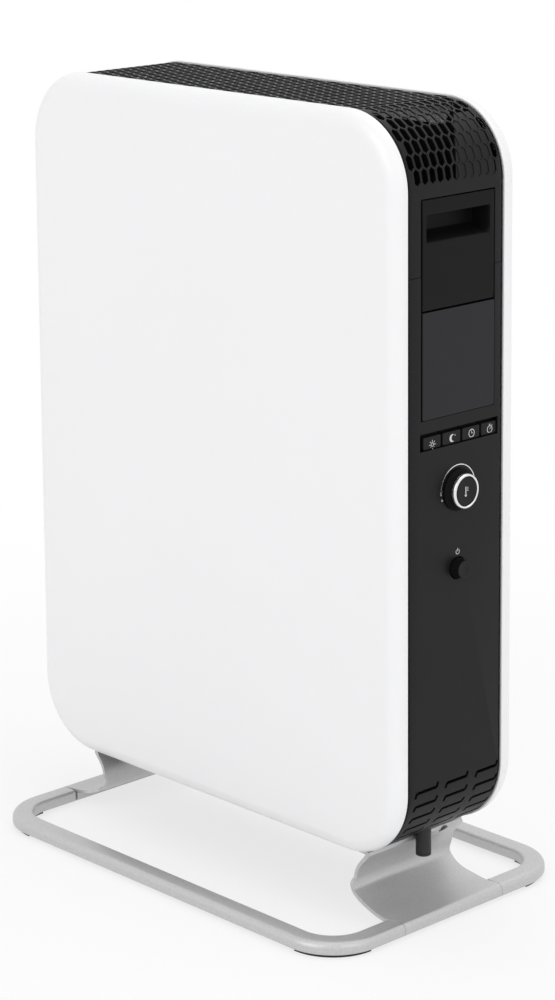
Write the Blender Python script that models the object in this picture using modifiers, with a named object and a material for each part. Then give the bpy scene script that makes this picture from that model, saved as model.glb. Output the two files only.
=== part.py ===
"""Oil-filled radiator: two white steel panels on a black casing, on an open ring stand.

Metres, +Z up. The front panel faces -Y and the controls are on the +X side. The origin is on
the floor under the middle of the whole outline, with the dial's reach counted in.
"""

import math

import bmesh
import bpy
from mathutils import Matrix, Vector
from mathutils.geometry import delaunay_2d_cdt

# Whole heater
BODY_WIDTH = 0.430
BODY_HEIGHT = 0.585
BODY_CLEARANCE = 0.061
BAND_DEPTH = 0.105
CORNER_RADIUS = 0.0597

# Shared clearances
GAP = 0.0003
WELD = 0.000002
OVERRUN = 0.002

# Panels: pressed pans with a crowned edge
PANEL_SHEET = 0.0012
PANEL_LIP = 0.0015
FRONT_PANEL_DEPTH = 0.012
FRONT_CROWN_INSET = 0.013
REAR_PANEL_DEPTH = 0.024
REAR_CROWN_INSET = 0.030

# Black casing: a wall that follows the panels' outline between them
CASE_INSET = 0.001
CASE_WALL = 0.0025
SEAM_DROP = 0.1234
COVER_SCREW_MARGIN = 0.0162

# Honeycomb of the top grille
GRILLE_COLUMNS = 7
GRILLE_MARGIN = 0.0035
GRILLE_BAR = 0.0032
GRILLE_ROWS = 23
GRILLE_TIP_GAP = 0.0004
GRILLE_POINT = 0.0034
GRILLE_END_DROP = 0.053
BAFFLE_WALL = 0.0015
BAFFLE_GAP = 0.0012
BAFFLE_WIDTH = 0.044
BAFFLE_SHIFT = 0.025
BAFFLE_TOP_DROP = 0.016

# Air slots round the lower corners, each with a hook at both ends
SLOT_LENGTH = 0.0255
SLOT_HEIGHT = 0.0024
SLOT_HOOK = 0.0030
SLOT_COLUMN_PITCH = 0.0338
SLOT_SHIFT = 0.0028
SLOT_ROW_PITCH = 0.0115
SLOT_FIRST_RISE = 0.0573
SLOT_ROWS = 6
COVER_SLOT_ROWS = 6
COVER_SLOT_PITCH = 0.014

# Handle insert and display, one above the other in the control side
FASCIA_WIDTH = 0.0812
FASCIA_SHIFT = 0.0025
HANDLE_DROP = 0.0650
HANDLE_HEIGHT = 0.0858
RECESS_WIDTH = 0.069
RECESS_HEIGHT = 0.0244
RECESS_DROP = 0.0130
RECESS_DEPTH = 0.022
RECESS_WALL = 0.002
RECESS_LIP = 0.006
DISPLAY_HEIGHT = 0.0837
DISPLAY_GLASS = 0.0022
DISPLAY_FRAME = 0.009
MODULE_DEPTH = 0.006
EDGE_ROUND = 0.0005

# Row of four keys
KEY_ROW_DROP = 0.0111
KEY_ROW_WIDTH = 0.0853
KEY_ROW_SHIFT = 0.0052
KEY_HEIGHT = 0.0124
KEY_COUNT = 4
KEY_CLEARANCE = 0.0004
KEY_SUNK = 0.0012
KEY_TRAVEL = 0.0010
KEY_ROUND = 0.0008

# Dial and its bright arc
DIAL_DROP = 0.0360
DIAL_SHIFT = 0.0027
DIAL_FOOT_RADIUS = 0.0166
DIAL_RADIUS = 0.0136
DIAL_REACH = 0.0097
DIAL_FOOT_GAP = 0.0013
DIAL_CAP_RADIUS = 0.0100
DIAL_CAP_SUNK = 0.0006
DIAL_RING_DEPTH = 0.0020
DIAL_RING_CHAMFER = 0.0008
DIAL_TRAVEL = 0.0008
ARC_RADIUS = 0.0195
ARC_WIDTH = 0.0009
ARC_HEIGHT = 0.0005
ARC_GROOVE = 0.0004
ARC_SWEEP_DEG = 200
SHAFT_RADIUS = 0.0030
SHAFT_HOLE_RADIUS = 0.0042
ENCODER_SIZE = 0.013
PLUNGER_RADIUS = 0.0025
PLUNGER_THICKNESS = 0.0008

# Power button
POWER_DROP = 0.0623
POWER_RADIUS = 0.0082
POWER_CLEARANCE = 0.0005
POWER_TOP_RADIUS = 0.0069
POWER_REACH = 0.0075
POWER_DISH = 0.0007
POWER_WALL = 0.0015
POWER_CEILING = 0.0036
POWER_SKIRT = 0.0059
POWER_TRAVEL = 0.0020
SWITCH_RADIUS = 0.0050

# Control board behind them
BOARD_THICKNESS = 0.0016
BOARD_WIDTH = 0.074
BOARD_MARGIN = 0.012
SWITCH_STRIP_HEIGHT = 0.006
SENSOR_SIZE = 0.006
SENSOR_RISE = 0.078

# Cable gland in the lower corner
GLAND_RADIUS = 0.0062
GLAND_BORE = 0.0040
GLAND_CLEARANCE = 0.0006
GLAND_INSET = 0.0392
GLAND_SHIFT = 0.0050
GLAND_DROP = 0.0203
GLAND_INSIDE = 0.012
GLAND_COLLAR_RADIUS = 0.0090
GLAND_COLLAR = 0.0030

# Stand: a ring of two rails and two brackets
RING_INSET = 0.006
RING_DEPTH = 0.270
RING_CORNER = 0.046
RAIL_WIDTH = 0.018
RAIL_HEIGHT = 0.0107
RAIL_ROUND = 0.0055
RAIL_INNER_ROUND = 0.0015
FOOT_HEIGHT = 0.0020
FOOT_WIDTH = 0.010
BRACKET_SEAM = 0.0555
BRACKET_TOP_HALF = 0.0605
BRACKET_REACH = 0.055
BRACKET_SHEET = 0.0030
BRACKET_FLANGE = 0.040
BRACKET_SLOT_WIDTH = 0.009
BRACKET_SLOT_HEIGHT = 0.006
BRACKET_SLOT_DROP = 0.0045
# Outer face from the rail to the waist and up to the flange: inward and upward shares
BRACKET_SHARES = (
    (0.30, 0.010), (0.45, 0.038), (0.60, 0.092), (0.745, 0.155), (0.87, 0.228), (0.96, 0.310),
    (0.99, 0.420), (0.983, 0.540), (0.94, 0.685), (0.855, 0.820), (0.725, 0.980),
)
STAND_SCREW_SPACING = 0.060
STAND_SCREW_INSET = 0.024
STAND_SCREW_HEAD = 0.0070
STAND_SCREW_HEAD_HEIGHT = 0.007
STAND_SCREW_RADIUS = 0.0025
STAND_SCREW_CLEARANCE = 0.0004

# Steel chassis inside, on the bottom cover
CHASSIS_WIDTH = 0.012
CHASSIS_HEIGHT = 0.012
CHASSIS_SEAT = 0.0007
CHASSIS_END = 0.0068
SADDLE_WIDTH = 0.076
SADDLE_THICKNESS = 0.008
SADDLE_WRAP = 0.010

# Oil-filled core
COLUMN_COUNT = 6
CORE_CONTROL_ROOM = 0.0915
CORE_FAR_ROOM = 0.0315
CORE_TOP_ROOM = 0.090
COLUMN_DEPTH = 0.084
COLUMN_THICKNESS = 0.026
COLUMN_FLANGE = 0.003
COLUMN_SEAM_SHARE = 0.80
COLUMN_FULL_SHARE = 0.35
CORE_RISE = 0.047
HEADER_RADIUS = 0.019
HEADER_INSET = 0.034
FLANGE_RADIUS = 0.021
FLANGE_THICKNESS = 0.005
ELEMENT_RADIUS = 0.012
ELEMENT_LENGTH = 0.007
TERMINAL_RADIUS = 0.002
TERMINAL_LENGTH = 0.005
TERMINAL_SPACING = 0.011
PLUG_RADIUS = 0.010
PLUG_LENGTH = 0.006
CUTOUT_RADIUS = 0.009
CUTOUT_HEIGHT = 0.008
SHIELD_SHEET = 0.0010
SHIELD_WIDTH = 0.092
SHIELD_DROP = 0.1385
SHIELD_FOOT = 0.010
TERMINAL_BLOCK_SIZE = (0.016, 0.040, 0.014)
TERMINAL_BLOCK_RISE = 0.050

# Tip-over switch
TIP_WALL = 0.002
TIP_INNER_WIDTH = 0.014
TIP_LENGTH = 0.020
TIP_HEIGHT = 0.034
TIP_PIVOT_DROP = 0.005
TIP_PIN_RADIUS = 0.0015
TIP_BOB_RADIUS = 0.0065
TIP_BOB_WIDTH = 0.010
TIP_ARM_LENGTH = 0.017
TIP_ARM_WIDTH = 0.007
TIP_ARM_THICKNESS = 0.004
TIP_END_ROOM = 0.0489

# Smoothness of round shapes
CORNER_STEPS = 8
CROWN_STEPS = 3
RAIL_STEPS = 6
RAIL_EDGE_STEPS = 4
RAIL_INNER_STEPS = 2
BEND_STEPS = 8
ROUND_STEPS = 28
BUTTON_STEPS = 20
HOLE_STEPS = 24
MIDDLE_STEPS = 16
SMALL_ROUND_STEPS = 12
HEADER_STEPS = 10
LEAST_STEPS = 8
NUT_SIDES = 6
ARC_STEPS = 20
FOOT_STEPS = 6
LIP_STEPS = 4
# Shares of the way along a curved profile
DIAL_FLARE_SHARES = (0.15, 0.35, 0.6, 0.85)
POWER_DISH_SHARES = (0.4, 0.7, 0.9)

# Worked out from the sizes above
BODY_TOP = BODY_CLEARANCE + BODY_HEIGHT
BODY_MIDDLE = BODY_CLEARANCE + BODY_HEIGHT / 2
BAND_Y = (FRONT_PANEL_DEPTH - REAR_PANEL_DEPTH) / 2
CASE_HALF_WIDTH = BODY_WIDTH / 2 - CASE_INSET
CASE_HALF_HEIGHT = BODY_HEIGHT / 2 - CASE_INSET
CASE_RADIUS = CORNER_RADIUS - CASE_INSET
CASE_FLAT = CASE_HALF_WIDTH - CASE_RADIUS
CASE_RISE = CASE_HALF_HEIGHT - CASE_RADIUS
CASE_QUARTER = CASE_RADIUS * math.pi / 2
CASE_FACE_HALF = BAND_DEPTH / 2
CASE_FLOOR = BODY_CLEARANCE + CASE_INSET + CASE_WALL
SIDE_START = CASE_FLAT + CASE_QUARTER
LOWER_CORNER_START = SIDE_START + 2 * CASE_RISE
LOWER_CORNER_END = LOWER_CORNER_START + CASE_QUARTER
HANDLE_TOP = BODY_TOP - HANDLE_DROP
HANDLE_BOTTOM = HANDLE_TOP - HANDLE_HEIGHT
DISPLAY_BOTTOM = HANDLE_BOTTOM - DISPLAY_HEIGHT
KEY_ROW_TOP = DISPLAY_BOTTOM - KEY_ROW_DROP
KEY_ROW_MIDDLE = KEY_ROW_TOP - KEY_HEIGHT / 2
DIAL_Z = KEY_ROW_TOP - KEY_HEIGHT - DIAL_DROP
POWER_Z = DIAL_Z - POWER_DROP
SEAM_Z = BODY_TOP - SEAM_DROP
CASE_INSIDE = CASE_HALF_WIDTH - CASE_WALL
MODULE_FRONT = CASE_HALF_WIDTH - DISPLAY_GLASS - GAP
BOARD_FRONT = MODULE_FRONT - MODULE_DEPTH - GAP
KEY_BACK = BOARD_FRONT + GAP + PLUNGER_THICKNESS + KEY_TRAVEL + GAP
GLAND_X = CASE_HALF_WIDTH + CASE_INSET - GLAND_INSET
GLAND_Z = BODY_MIDDLE - CASE_RISE - math.sqrt(CASE_RADIUS**2 - (GLAND_X - CASE_FLAT) ** 2)
RAIL_BOTTOM = FOOT_HEIGHT + GAP
RAIL_TOP = RAIL_BOTTOM + RAIL_HEIGHT
BRACKET_TOP = BODY_CLEARANCE - GAP
RING_WIDTH = BODY_WIDTH - 2 * RING_INSET
STAND_SCREW_X = RING_WIDTH / 2 - BRACKET_REACH * BRACKET_SHARES[-1][0] - STAND_SCREW_INSET
COVER_END = STAND_SCREW_X - COVER_SCREW_MARGIN
CASING_END = LOWER_CORNER_END + CASE_FLAT - COVER_END - GAP
TIP_SHIFT = TIP_END_ROOM - COVER_END
CHASSIS_LENGTH = 2 * (STAND_SCREW_X + CHASSIS_END)
CHASSIS_BOTTOM = CASE_FLOOR + CHASSIS_SEAT
CHASSIS_TOP = CHASSIS_BOTTOM + CHASSIS_HEIGHT
SHIELD_BOTTOM = CHASSIS_TOP + GAP
SHIELD_HEIGHT = BODY_TOP - SHIELD_DROP - SHIELD_BOTTOM
CORE_BOTTOM = BODY_CLEARANCE + CORE_RISE
COLUMN_HEIGHT = BODY_TOP - CORE_TOP_ROOM - CORE_BOTTOM
COLUMN_PITCH = (2 * CASE_INSIDE - CORE_CONTROL_ROOM - CORE_FAR_ROOM) / COLUMN_COUNT
CORE_SHIFT = (CORE_FAR_ROOM - CORE_CONTROL_ROOM) / 2
LOWER_HEADER = CORE_BOTTOM + HEADER_INSET
UPPER_HEADER = CORE_BOTTOM + COLUMN_HEIGHT - HEADER_INSET
CORE_END = CORE_SHIFT + COLUMN_COUNT * COLUMN_PITCH / 2


# Scene, collections and finishes

for old in list(bpy.data.objects):
    bpy.data.objects.remove(old)

parts = bpy.data.collections.new("oil_filled_radiator")
cutters = bpy.data.collections.new("cutters")
cutters.hide_render = True
for group in (parts, cutters):
    bpy.context.scene.collection.children.link(group)


def finish(name, colour, roughness, metallic=0.0):
    """A plain material in the part's colour."""
    material = bpy.data.materials.new(name)
    material.use_nodes = True
    shader = material.node_tree.nodes["Principled BSDF"]
    shader.inputs["Base Color"].default_value = (*colour, 1.0)
    shader.inputs["Roughness"].default_value = roughness
    shader.inputs["Metallic"].default_value = metallic
    return material


WHITE_ENAMEL = finish("white_enamel", (0.86, 0.86, 0.87), 0.32)
BLACK_CASE = finish("black_case", (0.032, 0.032, 0.034), 0.45)
DARK_INSERT = finish("dark_insert", (0.022, 0.022, 0.024), 0.50)
SMOKED_WINDOW = finish("smoked_window", (0.030, 0.030, 0.040), 0.12)
BRIGHT_TRIM = finish("bright_trim", (0.80, 0.80, 0.82), 0.22, 1.0)
SILVER_PAINT = finish("silver_paint", (0.46, 0.46, 0.47), 0.38, 0.6)
BLACK_RUBBER = finish("black_rubber", (0.018, 0.018, 0.018), 0.80)
CORE_GREY = finish("core_grey", (0.045, 0.045, 0.047), 0.50)
PLATED_STEEL = finish("plated_steel", (0.55, 0.55, 0.56), 0.35, 1.0)
BRASS = finish("brass", (0.62, 0.47, 0.20), 0.35, 1.0)
BOARD_GREEN = finish("board_green", (0.03, 0.16, 0.07), 0.50)
PALE_PLASTIC = finish("pale_plastic", (0.62, 0.60, 0.55), 0.50)


def empty(name, location, parent=None):
    """A plain axis that pieces are placed from."""
    axis = bpy.data.objects.new(name, None)
    parts.objects.link(axis)
    axis.location = location
    axis.parent = parent
    return axis


heater_axis = empty("heater_axis", (-DIAL_REACH / 2, 0, 0))
band_axis = empty("band_axis", (0, BAND_Y, 0), heater_axis)


# Shared tools


def link_part(name, mesh, material, parent, location=(0, 0, 0), rotation=(0, 0, 0)):
    """A named piece of the heater, placed from its parent axis."""
    mesh.name = name
    mesh.materials.clear()
    mesh.materials.append(material)
    piece = bpy.data.objects.new(name, mesh)
    parts.objects.link(piece)
    piece.parent = parent
    piece.location = location
    piece.rotation_euler = rotation
    return piece


def mesh_from(work, name="piece"):
    """Closes a bmesh into a mesh."""
    mesh = bpy.data.meshes.new(name)
    work.to_mesh(mesh)
    work.free()
    return mesh


def box(size, centre=(0, 0, 0)):
    """A box mesh with its middle at centre."""
    work = bmesh.new()
    bmesh.ops.create_cube(work, size=1)
    bmesh.ops.scale(work, vec=size, verts=work.verts)
    bmesh.ops.translate(work, vec=centre, verts=work.verts)
    return mesh_from(work)


def cylinder(radius, length, steps=SMALL_ROUND_STEPS, centre=(0, 0, 0), axis="Z"):
    """A round bar mesh along one axis with its middle at centre."""
    turns = {
        "X": Matrix.Rotation(math.pi / 2, 4, "Y"),
        "Y": Matrix.Rotation(math.pi / 2, 4, "X"),
        "Z": Matrix.Identity(4),
    }
    work = bmesh.new()
    bmesh.ops.create_cone(
        work, cap_ends=True, segments=steps, radius1=radius, radius2=radius, depth=length,
        matrix=Matrix.Translation(centre) @ turns[axis],
    )
    return mesh_from(work)


def solid_of(curve):
    """A curve as a mesh, with its caps joined to its sides."""
    guide = bpy.data.objects.new(curve.name, curve)
    cutters.objects.link(guide)
    bpy.context.view_layer.update()
    graph = bpy.context.evaluated_depsgraph_get()
    mesh = bpy.data.meshes.new_from_object(guide.evaluated_get(graph))
    bpy.data.objects.remove(guide)
    work = bmesh.new()
    work.from_mesh(mesh)
    bmesh.ops.remove_doubles(work, verts=work.verts, dist=WELD)
    work.to_mesh(mesh)
    work.free()
    return mesh


def inside(loop, x, y):
    """Whether a flat point lies inside a closed loop."""
    within = False
    for (x1, y1), (x2, y2) in zip(loop, loop[1:] + loop[:1]):
        if (y1 > y) != (y2 > y) and x < x1 + (y - y1) * (x2 - x1) / (y2 - y1):
            within = not within
    return within


def plate(loops, thickness):
    """A flat sheet in XY, thickness centred on it: the first loop is its outline, the rest holes."""
    points = []
    edges = []
    owners = []
    for number, loop in enumerate(loops):
        start = len(points)
        points += [Vector(place) for place in loop]
        edges += [(start + step, start + (step + 1) % len(loop)) for step in range(len(loop))]
        owners += [number] * len(loop)
    flat = delaunay_2d_cdt(points, edges, [], 0, WELD)
    work = bmesh.new()
    corners = [work.verts.new((x, y, -thickness / 2)) for x, y in flat[0]]
    for face in flat[2]:
        near = {owners[flat[3][corner][0]] for corner in face}
        x = sum(flat[0][corner].x for corner in face) / len(face)
        y = sum(flat[0][corner].y for corner in face) / len(face)
        if len(near) > 1 or inside(loops[min(near)], x, y) == (near == {0}):
            work.faces.new([corners[corner] for corner in face])
    loose = [corner for corner in work.verts if not corner.link_faces]
    bmesh.ops.delete(work, geom=loose, context="VERTS")
    raised = bmesh.ops.extrude_face_region(work, geom=work.faces[:])["geom"]
    bmesh.ops.translate(
        work, vec=(0, 0, thickness), verts=[v for v in raised if isinstance(v, bmesh.types.BMVert)]
    )
    bmesh.ops.recalc_face_normals(work, faces=work.faces[:])
    return mesh_from(work)


def turned(name, profile, material, parent, location, steps=ROUND_STEPS, closed=False):
    """A piece turned about an axis along +X: profile is (radius, distance along +X) pairs."""
    work = bmesh.new()
    points = [work.verts.new((radius, 0, along)) for radius, along in profile]
    for first, second in zip(points, points[1:]):
        work.edges.new((first, second))
    if closed:
        work.edges.new((points[-1], points[0]))
    piece = link_part(name, mesh_from(work), material, parent, location, (0, math.pi / 2, 0))
    screw = piece.modifiers.new("Turn", "SCREW")
    screw.steps = screw.render_steps = steps
    screw.use_merge_vertices = True
    screw.merge_threshold = WELD
    screw.use_smooth_shade = True
    return piece


def round_edges(piece, width, segments=1):
    """Rounds every sharp edge of a piece."""
    bevel = piece.modifiers.new("Rounded edges", "BEVEL")
    bevel.width = width
    bevel.segments = segments
    bevel.limit_method = "ANGLE"
    return piece


def cut(piece, mesh, operation="DIFFERENCE", name="cutter"):
    """Cuts a mesh, given in the piece's own frame, out of the piece, or joins it on."""
    tool = bpy.data.objects.new(f"{piece.name}_{name}", mesh)
    cutters.objects.link(tool)
    tool.hide_render = True
    tool.display_type = "WIRE"
    tool.parent = piece
    boolean = piece.modifiers.new(name, "BOOLEAN")
    boolean.operation = operation
    boolean.solver = "EXACT"
    boolean.object = tool
    return piece


def join(piece, mesh, name="joined"):
    """Joins a mesh, given in the piece's own frame, onto the piece."""
    return cut(piece, mesh, "UNION", name)


def smooth_round(piece, angle_deg=35):
    """Shades a round piece smooth, with its real edges kept sharp."""
    piece.data.shade_smooth()
    piece.data.set_sharp_from_angle(angle=math.radians(angle_deg))
    return piece


def arc_points(centre, radius, start_deg, end_deg, steps):
    """Points along an arc, both ends counted."""
    points = []
    for step in range(steps + 1):
        angle = math.radians(start_deg + (end_deg - start_deg) * step / steps)
        points.append(
            (centre[0] + radius * math.cos(angle), centre[1] + radius * math.sin(angle))
        )
    return points


def circle_points(centre, radius, steps):
    """Points round a whole circle."""
    return arc_points(centre, radius, 0, 360, steps)[:-1]


def rectangle(left, bottom, right, top):
    """A rectangle's four corners."""
    return [(left, bottom), (right, bottom), (right, top), (left, top)]


# The casing is drawn flat, as distance along the outline and depth, and bent round afterwards


def outline_place(along, outward):
    """X and Z at a distance along the outline from the top's middle, towards the controls."""
    side = math.copysign(1, along)
    along = abs(along)
    radius = CASE_RADIUS + outward
    if along <= CASE_FLAT:
        x, z = along, CASE_HALF_HEIGHT + outward
    elif along <= SIDE_START:
        angle = (along - CASE_FLAT) / CASE_RADIUS
        x, z = CASE_FLAT + radius * math.sin(angle), CASE_RISE + radius * math.cos(angle)
    elif along <= LOWER_CORNER_START:
        x, z = CASE_HALF_WIDTH + outward, CASE_RISE - (along - SIDE_START)
    elif along <= LOWER_CORNER_END:
        angle = (along - LOWER_CORNER_START) / CASE_RADIUS
        x, z = CASE_FLAT + radius * math.cos(angle), -CASE_RISE - radius * math.sin(angle)
    else:
        x, z = CASE_FLAT - (along - LOWER_CORNER_END), -CASE_HALF_HEIGHT - outward
    return side * x, BODY_MIDDLE + z


def side_along(height):
    """Distance along the outline at a height on the control side's flat stretch."""
    return SIDE_START + CASE_RISE - (height - BODY_MIDDLE)


def corner_cuts(start, end):
    """The places along the outline where the wall is bent."""
    cuts = []
    for corner in (CASE_FLAT, LOWER_CORNER_START):
        for step in range(BEND_STEPS + 1):
            place = corner + CASE_QUARTER * step / BEND_STEPS
            cuts += [place, -place]
    return [place for place in cuts if start < place < end]


def bend_round(mesh, cuts, outward=0.0):
    """Bends a flat wall round the outline, with its outer face outward of the case's."""
    work = bmesh.new()
    work.from_mesh(mesh)
    for place in cuts:
        bmesh.ops.bisect_plane(
            work, geom=work.verts[:] + work.edges[:] + work.faces[:], dist=WELD,
            plane_co=(place, 0, 0), plane_no=(1, 0, 0),
        )
    for vert in work.verts:
        along, depth, height = vert.co
        x, z = outline_place(along, height + outward)
        vert.co = (x, depth, z)
    work.to_mesh(mesh)
    work.free()
    return mesh


def case_wall(name, loops, cuts, material=BLACK_CASE, wall=CASE_WALL, behind=0.0):
    """A piece of the casing: flat loops of (distance along the outline, depth), bent round."""
    mesh = bend_round(plate(loops, wall), cuts, -wall / 2 - behind)
    return smooth_round(link_part(name, mesh, material, band_axis), 25)


def mirrored(loops):
    """The same loops on the far side, in the other order so that they keep their turn."""
    return [[(-along, depth) for along, depth in reversed(loop)] for loop in loops]


def notched_outline(start, end, notch_end):
    """A wall's outline with the fascia's opening let into its start."""
    low = FASCIA_SHIFT - FASCIA_WIDTH / 2
    high = FASCIA_SHIFT + FASCIA_WIDTH / 2
    face = CASE_FACE_HALF
    return [
        (start, -face), (end, -face), (end, face), (start, face),
        (start, high), (notch_end, high), (notch_end, low), (start, low),
    ]


# Panels


def make_panel(name, depth, crown_inset, facing):
    """A pressed pan: rounded outline, short straight lip, then a soft crown onto a flat face."""
    crown_depth = depth - PANEL_LIP
    stretch = crown_inset / crown_depth
    work = bmesh.new()
    bmesh.ops.create_cube(work, size=1)
    bmesh.ops.scale(work, vec=(BODY_WIDTH, depth * stretch, BODY_HEIGHT), verts=work.verts)
    uprights = [e for e in work.edges if abs((e.verts[0].co - e.verts[1].co).y) > WELD]
    bmesh.ops.bevel(
        work, geom=uprights, offset=CORNER_RADIUS, segments=CORNER_STEPS, profile=0.5,
        affect="EDGES",
    )
    face = min(work.faces, key=lambda f: f.normal.y)
    bmesh.ops.bevel(
        work, geom=face.edges[:], offset=crown_inset, segments=CROWN_STEPS, profile=0.5,
        affect="EDGES",
    )
    bmesh.ops.delete(
        work, geom=[max(work.faces, key=lambda f: f.normal.y)], context="FACES_ONLY"
    )
    bmesh.ops.scale(work, vec=(1, facing / stretch, 1), verts=work.verts)
    if facing < 0:
        bmesh.ops.reverse_faces(work, faces=work.faces)
    middle = facing * (BAND_DEPTH / 2 + GAP + depth / 2)
    bmesh.ops.translate(work, vec=(0, -middle, BODY_MIDDLE), verts=work.verts)
    panel = link_part(name, mesh_from(work), WHITE_ENAMEL, band_axis)
    shell = panel.modifiers.new("Sheet", "SOLIDIFY")
    shell.thickness = PANEL_SHEET
    shell.offset = -1
    shell.use_even_offset = True
    return smooth_round(panel)


# Casing


def hexagon(along, depth, half_length, half_width):
    """A long hexagon with its points along the outline."""
    shoulder = half_length - GRILLE_POINT
    return [
        (along - half_length, depth), (along - shoulder, depth - half_width),
        (along + shoulder, depth - half_width), (along + half_length, depth),
        (along + shoulder, depth + half_width), (along - shoulder, depth + half_width),
    ]


def grille_holes(limit):
    """Rows of hexagons over the top and both upper corners, every second row set over."""
    pitch = (BAND_DEPTH - 2 * GRILLE_MARGIN) / GRILLE_COLUMNS
    half_width = (pitch - GRILLE_BAR) / 2
    row_pitch = (2 * limit + GRILLE_TIP_GAP) / GRILLE_ROWS
    half_length = (row_pitch - GRILLE_TIP_GAP) / 2
    holes = []
    for row in range(GRILLE_ROWS):
        along = half_length - limit + row * row_pitch
        columns = GRILLE_COLUMNS - row % 2
        for column in range(columns):
            depth = (column - (columns - 1) / 2) * pitch
            holes.append(hexagon(along, depth, half_length, half_width))
    return holes


def make_top_grille():
    """The top moulding, from seam to seam over both corners, notched for the handle inserts."""
    end = side_along(SEAM_Z) - GAP / 2
    notch = side_along(HANDLE_TOP)
    limit = CASE_FLAT + CASE_RADIUS * math.acos(
        (CASE_RADIUS - (GRILLE_END_DROP - CASE_INSET)) / CASE_RADIUS
    )
    low = FASCIA_SHIFT - FASCIA_WIDTH / 2
    high = FASCIA_SHIFT + FASCIA_WIDTH / 2
    edge_steps = 2 * GRILLE_ROWS
    edge = [limit * (2 * step / edge_steps - 1) for step in range(edge_steps + 1)]
    outline = [(-end, -CASE_FACE_HALF)] + [(along, -CASE_FACE_HALF) for along in edge]
    outline += [(end, -CASE_FACE_HALF), (end, low), (notch, low), (notch, high), (end, high)]
    outline += [(end, CASE_FACE_HALF)] + [(along, CASE_FACE_HALF) for along in reversed(edge)]
    outline += [(-end, CASE_FACE_HALF), (-end, high), (-notch, high), (-notch, low)]
    outline += [(-end, low)]
    bends = [SIDE_START, (SIDE_START + limit) / 2]
    case_wall(
        "top_grille", [outline] + grille_holes(limit), bends + [-place for place in bends]
    )


def make_grille_baffle():
    """The wall just behind the rear half of the grille, over the control side's corner."""
    start = CASE_FLAT + CASE_RADIUS * math.acos((CASE_RADIUS - BAFFLE_TOP_DROP) / CASE_RADIUS)
    end = side_along(HANDLE_TOP) - CASE_WALL
    low = BAFFLE_SHIFT - BAFFLE_WIDTH / 2
    high = BAFFLE_SHIFT + BAFFLE_WIDTH / 2
    case_wall(
        "grille_baffle", [rectangle(start, low, end, high)], corner_cuts(start, end),
        DARK_INSERT, BAFFLE_WALL, CASE_WALL + BAFFLE_GAP,
    )


def hooked_slot(along, depth):
    """An air slot across the casing, its front end hooked down and its rear end hooked up."""
    half = SLOT_LENGTH / 2
    thin = SLOT_HEIGHT / 2
    hook = thin + SLOT_HOOK
    inner = half - SLOT_HEIGHT
    places = (
        (-half, hook), (-half, -thin), (inner, -thin), (inner, -hook),
        (half, -hook), (half, thin), (-inner, thin), (-inner, hook),
    )
    return [(along + down, depth + across) for across, down in places]


def corner_slots(skip_middle_of_last):
    """Rows of air slots round a lower corner."""
    first = side_along(BODY_CLEARANCE + SLOT_FIRST_RISE)
    slots = []
    for row in range(SLOT_ROWS):
        for column in (-1, 0, 1):
            if skip_middle_of_last and row == SLOT_ROWS - 1 and column == 0:
                continue
            slots.append(
                hooked_slot(
                    first + row * SLOT_ROW_PITCH, SLOT_SHIFT + column * SLOT_COLUMN_PITCH
                )
            )
    return slots


def stand_screw_holes():
    """Clearance holes in the casing's floor for the stand screws, as flat loops."""
    along = LOWER_CORNER_END + CASE_FLAT - STAND_SCREW_X
    radius = STAND_SCREW_RADIUS + STAND_SCREW_CLEARANCE
    return [
        circle_points((along, -BAND_Y + side * STAND_SCREW_SPACING / 2), radius, LEAST_STEPS)
        for side in (-1, 1)
    ]


def make_casings():
    """The two side casings, from the seam down and round the lower corners."""
    start = side_along(SEAM_Z) + GAP / 2
    key_half = KEY_ROW_WIDTH / 2
    holes = [
        rectangle(
            side_along(KEY_ROW_TOP), KEY_ROW_SHIFT - key_half,
            side_along(KEY_ROW_TOP - KEY_HEIGHT), KEY_ROW_SHIFT + key_half,
        ),
        circle_points((side_along(DIAL_Z), DIAL_SHIFT), SHAFT_HOLE_RADIUS, MIDDLE_STEPS),
        circle_points(
            (side_along(POWER_Z), DIAL_SHIFT), POWER_RADIUS + POWER_CLEARANCE, HOLE_STEPS
        ),
    ]
    cuts = corner_cuts(start, CASING_END)
    outline = notched_outline(start, CASING_END, side_along(DISPLAY_BOTTOM))
    control = case_wall(
        "control_casing", [outline] + holes + corner_slots(True) + stand_screw_holes(), cuts
    )
    cut(control, arc_solid(ARC_WIDTH / 2 + GAP, ARC_GROOVE + OVERRUN, OVERRUN), name="arc_groove")
    gland_hole = cylinder(
        GLAND_RADIUS + GLAND_CLEARANCE, GLAND_DROP, HOLE_STEPS,
        centre=(GLAND_X, GLAND_SHIFT, GLAND_Z),
    )
    cut(control, gland_hole, name="gland_hole")
    outline = notched_outline(start, CASING_END, side_along(HANDLE_BOTTOM))
    far = mirrored([outline] + corner_slots(False) + stand_screw_holes())
    case_wall("far_casing", far, [-place for place in cuts])


def make_bottom_cover():
    """The flat cover between the side casings, with rows of plain intake slots."""
    loops = [rectangle(-COVER_END, -CASE_FACE_HALF, COVER_END, CASE_FACE_HALF)]
    for row in range(COVER_SLOT_ROWS):
        x = (row - (COVER_SLOT_ROWS - 1) / 2) * COVER_SLOT_PITCH
        for column in (-1, 0, 1):
            y = SLOT_SHIFT + column * SLOT_COLUMN_PITCH
            loops.append(
                rectangle(
                    x - SLOT_HEIGHT / 2, y - SLOT_LENGTH / 2,
                    x + SLOT_HEIGHT / 2, y + SLOT_LENGTH / 2,
                )
            )
    link_part(
        "bottom_cover", plate(loops, CASE_WALL), BLACK_CASE, band_axis,
        (0, 0, CASE_FLOOR - CASE_WALL / 2),
    )


# Handle inserts and display


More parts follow.
